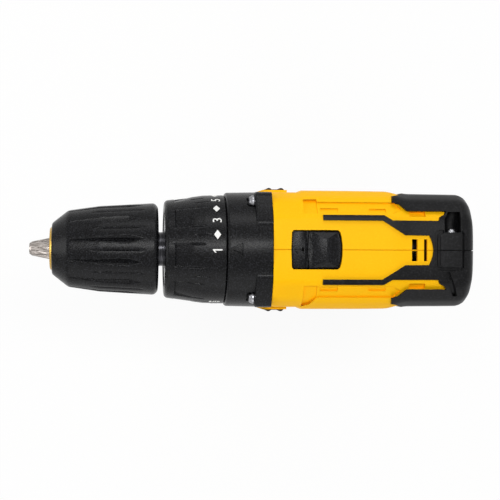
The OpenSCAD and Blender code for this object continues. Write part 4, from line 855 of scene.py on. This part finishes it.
ear_low, ear_high = bumper_low.z - 0.7, bumper_high.z + 0.7
ear_front, ear_foot = x_body - 5.5, body_w - 1.2
ears = []
for side in (-1, 1):
    ear_top = side * (body_w + 0.2)
    near, out = side * ear_foot, side * (ear_foot + 0.6)
    ears.append(wedge("ear", ((ear_front, near, bumper_low.z + 2), (x_body + 1, out, bumper_high.z - 2)),
                      ((ear_front + 2.4, near, ear_low), (x_body + 1, ear_top, ear_high))))
    ears.append(block((x_body + 0.1, side * (body_w - 3.3), ear_low), (bumper_end + 1.2, ear_top, ear_high)))
skin = joined(barrel(), handle(), foot(), *chin())
bare_skin = copied(skin)
cavity_foot = within(foot(-wall), block((-far, -far, foot_z + 10.2), (far, far, far)))
hollow = joined(barrel(-wall, 8), handle(-wall), *chin(-wall), cavity_foot)
well_x, well_z = x_body + 84, axis_z + motor_r + 3.9
screw_places = [
    (well_x, well_z), (x_rear - 11.5, axis_z - 15), (can_high.x + 1.5, axis_z - 22.2),
    (handle_x + handle_a - 5.6, handle_top - 21), (handle_x + handle_rake * 0.5 + 3, trigger_low.z - 5),
    (handle_x + handle_rake + 8, foot_top + 10), (battery_mid - foot_a + 4.8, foot_z + 4.6),
    (battery_mid + foot_a - 10, foot_top - 4.8),
]
posts = [peg((x, -60, z), 3.5, 1, 120) for x, z in screw_places]
posts += [peg((x_body, y, axis_z + z), 4.4, 0, 13) for y, z in seats]
posts += [peg((hook_x, side * (foot_w - 11), hook_z), 4.8, 1, side * 11) for side in (-1, 1)]
cut(hollow, *posts, *(copied(ear) for ear in ears))
joined(skin, *ears)
cut(skin, hollow)
# The openings: gear case, selector, vents, trigger, lever, lamp, battery rails, bumpers and belt hook
window_x0, window_w = x_body + 8.3, selector_high.y + 0.4
window_x1 = window_x0 + 23.6
rail_x0, rail_w = tub_low.x + 13, tub_high.y - 12
rail_neck = rail_w - 3.2
latch_w = latch_high.y + 0.6
window = symmetric([
    (window_x0 - 0.3, 0), (window_x0, window_w - 1), (window_x0 + 0.8, window_w), (window_x1 - 2, window_w),
    (window_x1 - 1.1, window_w - 1), (window_x1 - 0.5, 6), (window_x1 - 0.1, 3), (window_x1, 0),
])
cuts = [
    peg((x_body - 20, 0, axis_z), 23.5, 0, plate_x + 20.5 - x_body, steps=96),
    peg((plate_x, 0, axis_z), motor_r + 0.15, 0, can_high.x + 3 - plate_x, steps=96),
    block((x_body - 1, -window_w, axis_z + 22.4), (window_x1 + 8.8, window_w, axis_z + 25)),
    block((x_body - 1, -window_w, axis_z + 24), (window_x0 + 1, window_w, axis_z + 25.6)),
    block((trigger_low.x - 2, -9, trigger_low.z - 0.5), (handle_x - 6, 9, trigger_high.z + 0.5)),
    block((lever_low.x - 0.4, -far, lever_low.z - 0.4), (lever_high.x + 0.4, far, lever_high.z + 0.4)),
    peg((chin_x0 - 5, 0, lamp_z), 3.1, 0, 14),
    block((rail_x0 - 0.5, -rail_w - 0.4, foot_z + 3), (far, rail_w + 0.4, foot_z + 7.8)),
    block((rail_x0 - 0.5, -rail_neck - 0.4, foot_z - 5), (far, rail_neck + 0.4, foot_z + 7)),
    block((latch_low.x - 2, -latch_w, foot_z - 5), (far, latch_w, foot_z + 8)),
    block((rail_x0 + 5.9, -12.1, foot_z + 7), (rail_x0 + 22.1, 12.1, foot_z + 12.4)),
    prism(window, axis_z + 20, above),
]
for vent_x, half, y0, y1 in ((66, 1.3, -5.1, -0.3), (66, 1.3, 0.3, 5.1), (71.2, 0.75, -5.1, 5.1)):
    cuts.append(block((x_body + vent_x - half, y0, axis_z + motor_r + 0.6),
                      (x_body + vent_x + half, y1, above)))
side_vents, vent_pitch = 4, 5
for side in (-1, 1):
    for i in range(side_vents):
        vent_x = x_rear - 34 + i * vent_pitch
        cuts.append(round_hull(
            "vent", 1, [((vent_x, side * y, axis_z + z), 1.1) for z in (-8, 4) for y in (20, 40)], 16))
    cuts.append(peg((hook_x, side * (foot_w - 9.1), hook_z), 3.22, 1, side * 12))
    for x0, x1, y in ((x_body + 0.8, bumper_end + 0.1, body_w - 2.6),
                      (bumper_low.x - 0.1, x_body + 1, body_w - 0.2)):
        cuts.append(block((x0, side * y, bumper_low.z - 0.1), (x1, side * (body_w + 4), bumper_high.z + 0.1)))
    for level in (-1, 1):
        cuts.append(peg((x_body - 5, side * screw_y, axis_z + level * screw_z), 1.6, 0, 15))
    # The sunk panel beside the top, its deeper front pocket and the three small windows in it
    panel = [(14.2, 16.8), (56, 16.8), (60, 19), (57, 22.2), (21, 22.2), (17.6, 25.6), (14.2, 26.6)]
    pocket = [(14.2, 16.8), (20.5, 16.8), (20.5, 22.1), (17.6, 25.4), (14.2, 26.4)]
    if side > 0:
        panel[4:] = [(14.2, 22.2)]
        pocket[2:] = [(20.5, 23.4), (14.2, 23.4)]
    panes = [((x0, y0), (x1, y0), (x1, y1), (x0, y1)) for x0, x1, y0, y1 in (
        (21.9, 30.1, 17.4, 19.2), (44.8, 52.8, 17.4, 19.1), (63.8, 71.5, 15.6, 18))]
    for depth, outlines in ((0.55, [panel]), (1.1, [pocket, *panes])):
        cuts += [dent([(x, side * y) for x, y in outline], depth) for outline in outlines]
cutter = joined(*cuts)
# The parting line is a groove, half a millimetre deep
grooves = [cut(block((-far, -0.16, 0), (far, 0.16, far)), joined(barrel(off - 0.5, 9), handle(off - 0.5)))
           for off in (0, grip_t)]
# The well over the rear screw opens upwards through the right-hand rubber, which lines it
well, lining = (
    [((well_x + x, y, well_z + z), r) for z in (0, rise) for x, y, r in circles]
    for rise, circles in ((12, ((0, 8.4, 3.9), (0, 14.5, 3.9), (1, 18, 2.9))),
                          (2, ((0, 7.2, 4.9), (0, 15, 4.9), (1.4, 19, 3.5))))
)
for side, node in ((1, "right_shell"), (-1, "left_shell")):
    shell = within(copied(skin), block((-far, side * seam, -far), (far, side * far, far)))
    cut(shell, copied(cutter), copied(grooves[0]))
    for x, z in screw_places:
        if side > 0:
            cut(shell, peg((x, -1, z), 1.6, 1, 40), peg((x, 8, z), 3.3, 1, 60))
        else:
            cut(shell, peg((x, 1, z), 1.55, 1, -10))
    if side > 0:
        cut(shell, round_hull("well", 1, lining))
    shell.name = node + "_moulding"
    dress(shell, yellow_nylon, "yellow_nylon", "housing", node)

# ---- Rubber grips ----
# Soft black rubber moulded over the shells: two stripes along the top that widen into the rear cap, and
# the back and sides of the handle, where shallow furrows help the hand to hold.
black_rubber = plastic("black_moulded_rubber", "#09090a", "#2c2c2e", "#0d0d0e", 0.9, 0.04, 0.4, 0.3, 0.11)
cap_front = 63.4
stripe = [
    (22.8, 13.7), (22.8, 16.2), (51.3, 16.2), (55.4, 13.8), (77.3, 13.8), (78.1, 15.6), (80.5, 16.8),
    (81.6, 18.3), (62.6, 18.3), (60.4, 20.3), (59, 21.6), (55.7, 21.9), (56.5, 25.4), (61.2, 26.3),
    (cap_front, 26.7), (cap_front, far), (180, far), (180, -1), (74.9, -1), (74.5, 2.5), (73.6, 5.2),
    (72.7, 6.9), (61.4, 7), (50.7, 13.7),
]
rubber_skin = joined(barrel(grip_t), handle(grip_t))
# Shallow slanting furrows round the handle's back and sides, with a bare strip over the parting line
furrow_count, furrow_pitch, furrow_slant, furrow_depth = 13, 4.4, 0.3, 0.4
furrows = [
    hull_of("furrow", [(handle_x + x, y, foot_top + 24 + furrow_pitch * k + rise + furrow_slant * x)
                       for x in (-14, 40) for y in (-30, 30) for rise in (-0.6, 0.6)])
    for k in range(furrow_count)
]
furrow_tool = within(cut(joined(*furrows), handle(grip_t - furrow_depth)), block(
    (handle_x - 8, -40, foot_top + 14), (handle_x + 60, 40, handle_top - 16)))
cut(furrow_tool, block((handle_x + 12, -3.5, 0), (handle_x + 60, 3.5, axis_z)))
cut(rubber_skin, furrow_tool)


def on_cap(outline, low, high):
    """The part of the rear cap's skin on an outline, from low to high above the barrel's own skin."""
    return within(
        prism([(x_body + x, y) for x, y in outline], axis_z + 14, above), cut(barrel(high), barrel(low))
    )


# A raised pad in the middle with a channel round it, and a slanting rib beside it, with its own valley
pad = symmetric([(76.9, 7), (78, 8), (87.6, 8), (88.3, 7.2)])
around = symmetric([(75.6, 7.6), (77.2, 9.4), (88.4, 9.4), (89.6, 8)])
channel = cut(on_cap(around, 0.15, 3), on_cap(pad, 0.1, 4))
cut(rubber_skin, channel, on_cap([(79.4, -10.2), (82.4, -10.2), (87, -21.6), (85.4, -21.6)], 0.15, 3))
joined(rubber_skin, on_cap([(x + (1 if x < 80 else 0), y) for x, y in pad], 0.3, grip_t + 0.9),
       on_cap([(82.4, -10.4), (84.6, -10), (90, -20.6), (87, -21.6)], 0.3, grip_t + 1.3))
for side, node in ((1, "right_grip"), (-1, "left_grip")):
    cover = joined(
        prism([(x_body + x, side * y) for x, y in stripe], axis_z - 2, above),
        block((x_body + cap_front, 0, chin_z - 4), (far, side * far, axis_z - 1)),
        block((handle_x + 3, 0, foot_top + 6), (far, side * far, handle_top - 13)),
        block((-far, side * (handle_w - 4.6), foot_top + 20), (handle_x + 4, side * far, trigger_low.z - 4)),
    )
    cut(cover, block((-far, -side * 2, -far), (far, side * seam, far)),
        block((x_rear - 36, side * (body_w - 10), axis_z - 10.5), (x_rear - 16.6, side * far, axis_z + 6.6)))
    grip = cut(within(copied(rubber_skin), cover), copied(bare_skin), copied(cutter), copied(grooves[1]))
    if side > 0:
        joined(grip, within(round_hull("lining", 1, lining), barrel(grip_t)))
        cut(grip, round_hull("well", 1, well), peg((well_x, 6, well_z), 3.1, 1, 5),
            *(peg((x, 8, z), 3.4, 1, 60) for x, z in screw_places[1:]))
    else:
        # A short notch beside the pad
        notch = block((x_body + 79.5, -9.6, axis_z + 20), (x_body + 83, -8.1, above))
        cut(grip, cut(notch, barrel(0.15)))
    grip.name = node + "_rubber"
    dress(grip, black_rubber, "rubber_grip", "housing", node)
for leftover in (skin, bare_skin, rubber_skin, cutter, *grooves):
    bpy.data.objects.remove(leftover)

# ---- Speed selector ----
# A black nylon slide in the window on top: a thumb piece with a hipped roof, between two sunk plates, of
# which the front one carries an engraved gear number. It slides forward by one step to change gear.
knob_x0, knob_x1 = selector_low.x + 8, selector_high.x - 8
plate_z, plate_top, riser_top = selector_low.z, selector_low.z + 0.9, selector_low.z + 0.9 + 0.7
knob_w, knob_top = selector_high.y, selector_high.z
knob_plan = symmetric([
    (knob_x0, 2.5), (knob_x0 + 0.35, 6.5), (knob_x0 + 0.7, knob_w), (knob_x1 - 1.6, knob_w),
    (knob_x1 - 0.5, 5.5), (knob_x1 - 0.1, 2),
])
ridge_x = knob_x0 + 8.4


def raised(outline, z0, z1, inset):
    """The hull of an outline at one height and the same outline drawn in at another."""
    middle = [sum(p[k] for p in outline) / len(outline) for k in (0, 1)]
    shrunk = [
        tuple(c - math.copysign(min(inset, abs(c - m)), c - m) for c, m in zip(p, middle)) for p in outline
    ]
    return hull_of("raised", [(*p, z0) for p in outline] + [(*p, z1) for p in shrunk])


knob = joined(
    prism(knob_plan, plate_z, knob_top - 2.6), raised(knob_plan, knob_top - 2.6, knob_top - 2, 0.6),
    wedge("roof",
          ((knob_x0 + 1.9, 0.6 - knob_w, knob_top - 2.3), (knob_x1 - 2.3, knob_w - 0.6, knob_top - 1.9)),
          ((ridge_x - 0.25, -4.9, knob_top - 0.3), (ridge_x + 0.25, 4.9, knob_top))),
)
scoop_x = knob_x0 - 12.8
cut(knob, round_hull(
    "scoop", 2, [((scoop_x, 0, knob_top - 2.35), 15), ((scoop_x, 0, knob_top + 0.5), 16.5)], 96))
chamfered(knob, 0.18, 2, 25)
plate = chamfered(block((selector_low.x, -knob_w, plate_z), (selector_high.x, knob_w, plate_top)), 0.2)
riser = chamfered(
    block((knob_x0 - 7.3, 0.1 - knob_w, plate_z), (knob_x0 - 0.45, knob_w - 0.1, riser_top)), 0.15)
slide = joined(knob, plate, riser)
cut(slide, block((knob_x0 - 1.2, -1.7, plate_z - 1), (knob_x0 + 1.1, 1.7, plate_z + 0.05)))
# The figure one with a foot, sunk into the front plate
sign_points = [(1.25 * a, b) for a, b in one_sign[0]] + [(-1.5, -2.2), (1.6, -2.2), (1.6, -1.4), (-1.5, -1.4)]
sign_x, sign_y, sign_rise, sign_depth = knob_x0 - 3.9, -0.2, 0.3, 1.0
cut(slide, sheet_solid(
    "sign", [(sign_x - up, sign_y + right, riser_top + sign_rise) for right, up in sign_points],
    [*one_sign[1], (7, 8, 9, 10)], sign_depth + sign_rise,
))
slide.name = "selector_slide"
dress(slide, black_nylon, "black_nylon", "selector", "speed_selector")

# ---- Side bumpers ----
# Small black rubber plugs, pressed into the ears and flanks of the shells. They have a round rib at each
# end, for the tool to lie on.
for side, name in ((1, "right_bumper"), (-1, "left_bumper")):
    bumper = joined(*(
        chamfered(block((x0, side * (body_w - depth), bumper_low.z),
                        (x1, side * (body_w + 0.5), bumper_high.z)), edge)
        for x0, x1, depth, edge in (
            (x_body + 0.9, bumper_end, 2.5, 0.25), (bumper_low.x, x_body + 3, 0.1, 0.2))
    ))
    for x in (bumper_low.x + 1.5, bumper_end - 1.5):
        rib = peg((x, side * (body_w - 0.3), bumper_low.z), 1.48, 2, bumper_high.z - bumper_low.z, 0.3)
        joined(bumper, within(rib, block((-far, side * (body_w + 0.1), -far), (far, side * far, far))))
    bumper.name = name
    dress(bumper, black_rubber, "rubber_grip", "housing", "side_bumpers")

# ---- Screws ----
# Zinc-plated pan-head screws with a star socket: eight join the shells, four hold the gear case and four
# close the battery. One of each size is modelled, and Geometry Nodes set out the others.
bright_steel = metal("zinc_plated_steel", "#acacaf", "#616266", 0.3, 0.3, 0.008, (1, 1, 1), 0.12)


def set_out(name, places, pattern, material):
    """Copies of a pattern at a list of places, made by Geometry Nodes as one mesh; the pattern is removed."""
    holder = raw_piece(name, places)
    tree = bpy.data.node_groups.new(name, "GeometryNodeTree")
    sockets = {
        title: tree.interface.new_socket(name=title, in_out=way, socket_type="NodeSocket" + kind)
        for title, way, kind in (("Places", "INPUT", "Geometry"), ("Pattern", "INPUT", "Object"),
                                 ("Finish", "INPUT", "Material"), ("Copies", "OUTPUT", "Geometry"))
    }
    given = add_node(tree, "NodeGroupInput").outputs
    info = add_node(tree, "GeometryNodeObjectInfo", {"Object": given["Pattern"]})
    on_points = add_node(
        tree, "GeometryNodeInstanceOnPoints",
        {"Points": given["Places"], "Instance": info.outputs["Geometry"]},
    )
    real = add_node(tree, "GeometryNodeRealizeInstances", {"Geometry": on_points.outputs["Instances"]})
    finish = add_node(
        tree, "GeometryNodeSetMaterial", {"Geometry": real.outputs["Geometry"], "Material": given["Finish"]}
    )
    add_node(tree, "NodeGroupOutput", {"Copies": finish.outputs["Geometry"]})
    copies = holder.modifiers.new("set_out", "NODES")
    copies.node_group = tree
    copies[sockets["Pattern"].identifier] = pattern
    copies[sockets["Finish"].identifier] = material
    settle(holder)
    bpy.data.objects.remove(pattern)
    return holder


def screw(axis, way, head_r, head_t, shank_r, shank_len):
    """A screw at the origin whose head stands out against way along an axis, and whose shank runs with it."""
    def ring(along, radius, steps):
        centre = [0, 0, 0]
        centre[axis] = way * along
        return disc(centre, radius, axis, steps)

    profile = softened([(-head_t, 0.01), (-head_t, head_r * 0.72), (-head_t * 0.45, head_r), (0, head_r),
                        (0, shank_r), (shank_len - 0.8, shank_r), (shank_len, 0.01)], 0.35, 3)
    star = []
    for along in (-head_t - 1, -head_t * 0.35):
        inner, outer = (ring(along, head_r * share, 12) for share in (0.36, 0.5))
        star.append([(outer if k % 2 else inner)[k] for k in range(12)])
    return cut(loft("screw", [ring(along, r, 40) for along, r in profile]), loft("socket", star))


for name, body, node, places, pattern in (
    ("shell_screw_set", "housing", "shell_screws", [(x, 8, z) for x, z in screw_places],
     screw(1, -1, 2.9, 2.1, 1.45, 14.6)),
    ("case_screw_set", "housing", "case_screws", [(lug_front - 0.1, y, axis_z + z) for y, z in seats],
     screw(0, 1, 2.9, 2.5, 1.5, 12)),
    ("battery_screw_set", "battery", "battery_screws",
     [(x, side * (tub_high.y - 10), 1.5) for x in (tub_low.x + 9.5, tub_high.x - 8.6) for side in (-1, 1)],
     screw(2, 1, 2.35, 1.2, 1.25, 31)),
):
    dress(set_out(name, places, pattern, bright_steel), bright_steel, "machined_steel", body, node)

# ---- Trigger, direction lever and lamp ----
# Black nylon controls with softened edges: the trigger has a hollow for the finger, the lever goes through
# the handle above it, and a clear lens covers the work lamp in the chin.
trigger_piece = rounded_copy("trigger", "trigger_moulding", 0.8, 4, 30)
dress(trigger_piece, black_nylon, "black_nylon", "trigger_body", "trigger")
lever_piece = rounded_copy("direction_lever", "lever_moulding", 0.5, 3, 30)
lever_x, lever_z = (lever_low.x + lever_high.x) / 2, (lever_low.z + lever_high.z) / 2
for side in (-1, 1):
    for x in (lever_x - 2.6, lever_x, lever_x + 2.6):
        cut(lever_piece, round_hull("groove", 1, [
            ((x, side * (lever_high.y - deep), lever_z + z), 0.45)
            for z in (-2, 2) for deep in (0, 0.5)], 12))
dress(lever_piece, black_nylon, "black_nylon", "lever_body", "direction_lever")

# Clear polycarbonate over a white reflector: bright, with a slightly wavy surface
lens_plastic, tree, shader, place = shader_material(
    "clear_polycarbonate", Base_Color=linear("#eef2f5"), Roughness=0.08, IOR=1.58, Transmission_Weight=0.85
)
rippled(tree, shader, place, 1.5, 0.3)
lens_profile = softened([
    (lamp_high.x, 0.05), (lamp_high.x, 2.95), (chin_x0 + 0.6, 2.95), (chin_x0 - 0.6, 2.3),
    (lamp_low.x + 0.05, 1.2), (lamp_low.x, 0.05),
], 0.8, 5)
lens = loft("lamp_lens", [disc((x, 0, lamp_z), r, 0, 48) for x, r in lens_profile])
dress(lens, lens_plastic, "lamp_lens", "housing", "work_lamp")

# ---- Battery ----
# A five-cell pack in black nylon: a tub and a lid with rails, ribbed finger recesses on its sides and a
# yellow latch at the rear. The cells inside wear printed sleeves.
tub = rounded_copy("battery_tub", "battery_tub_moulding", 0.5, 3)
rib_count, rib_pitch, rib_z = 10, 4, tub_high.z * 0.55
for side in (-1, 1):
    for i in range(rib_count):
        rib_x = battery_mid - 18 + i * rib_pitch
        cut(tub, round_hull("groove", 1, [
            ((rib_x, side * (tub_high.y + out), rib_z + z), r)
            for z in (-8, 8) for out, r in ((-0.9, 0.8), (1, 1.3))], 12))
dress(tub, black_nylon, "black_nylon", "battery", "battery_tub")
lid = rounded_copy("battery_lid", "battery_lid_moulding", 0.35)
dress(lid, black_nylon, "black_nylon", "battery", "battery_lid")
latch = rounded_copy("battery_latch", "battery_latch_moulding", 0.5, 3, 30)
dress(latch, yellow_nylon, "yellow_nylon", "latch_body", "battery_latch")
# Printed shrink sleeve, satin green
cell_sleeve = plastic("green_shrink_sleeve", "#2f6d4b", "#4d8d68", "#2a6344", 1.5, 0.01, 0.35, 0.4)
finish_node(cell_sleeve, "battery_cells")

# ---- Inner parts ----
# The gear train, motor, switch and terminals show through the openings or with the shells off. They keep
# their CAD meshes and take their real materials.
# Enamelled copper wire: reddish brown, glossy, wound across the spindle
copper = metal("enamelled_copper", "#c0703a", "#8a4420", 0.3, 0.6, 0.05, (1, 0.1, 0.1))
# Turned brass: warm yellow, satin
brass = metal("turned_brass", "#d2a95a", "#a67f36", 0.3, 0.4, 0.01, (1, 1, 1))
# Sintered ferrite and pressed carbon: dark, dull and a little gritty
ferrite = plastic("sintered_ferrite", "#3a3a3c", "#525255", "#323234", 1.2, 0.03, 0.7, 0.2)
carbon = plastic("pressed_carbon", "#232323", "#3a3a3a", "#1d1d1d", 0.6, 0.03, 0.6, 0.15)
# Grey moulded nylon: plain and satin
grey_nylon = plastic("grey_nylon", "#3b3f46", "#60656d", "#43474e", 0.8, 0.03, 0.5, 0.25)
finish_node(ground_steel, "carrier_1", "carrier_2", "carrier_3", "ring_gear_1", "ring_gear_2", "ring_gear_3",
            "motor_shaft", *(f"planet_{stage}{which}" for stage in (1, 2, 3) for which in "abc"))
finish_node(bright_steel, "shift_fork", "trigger_spring")
finish_node(copper, "armature_core")
finish_node(brass, "hook_inserts", "terminal_block")
finish_node(ferrite, "motor_magnets")
finish_node(carbon, "motor_brushes")
finish_node(grey_nylon, "trigger_switch", "motor_fan", "motor_end_cap")
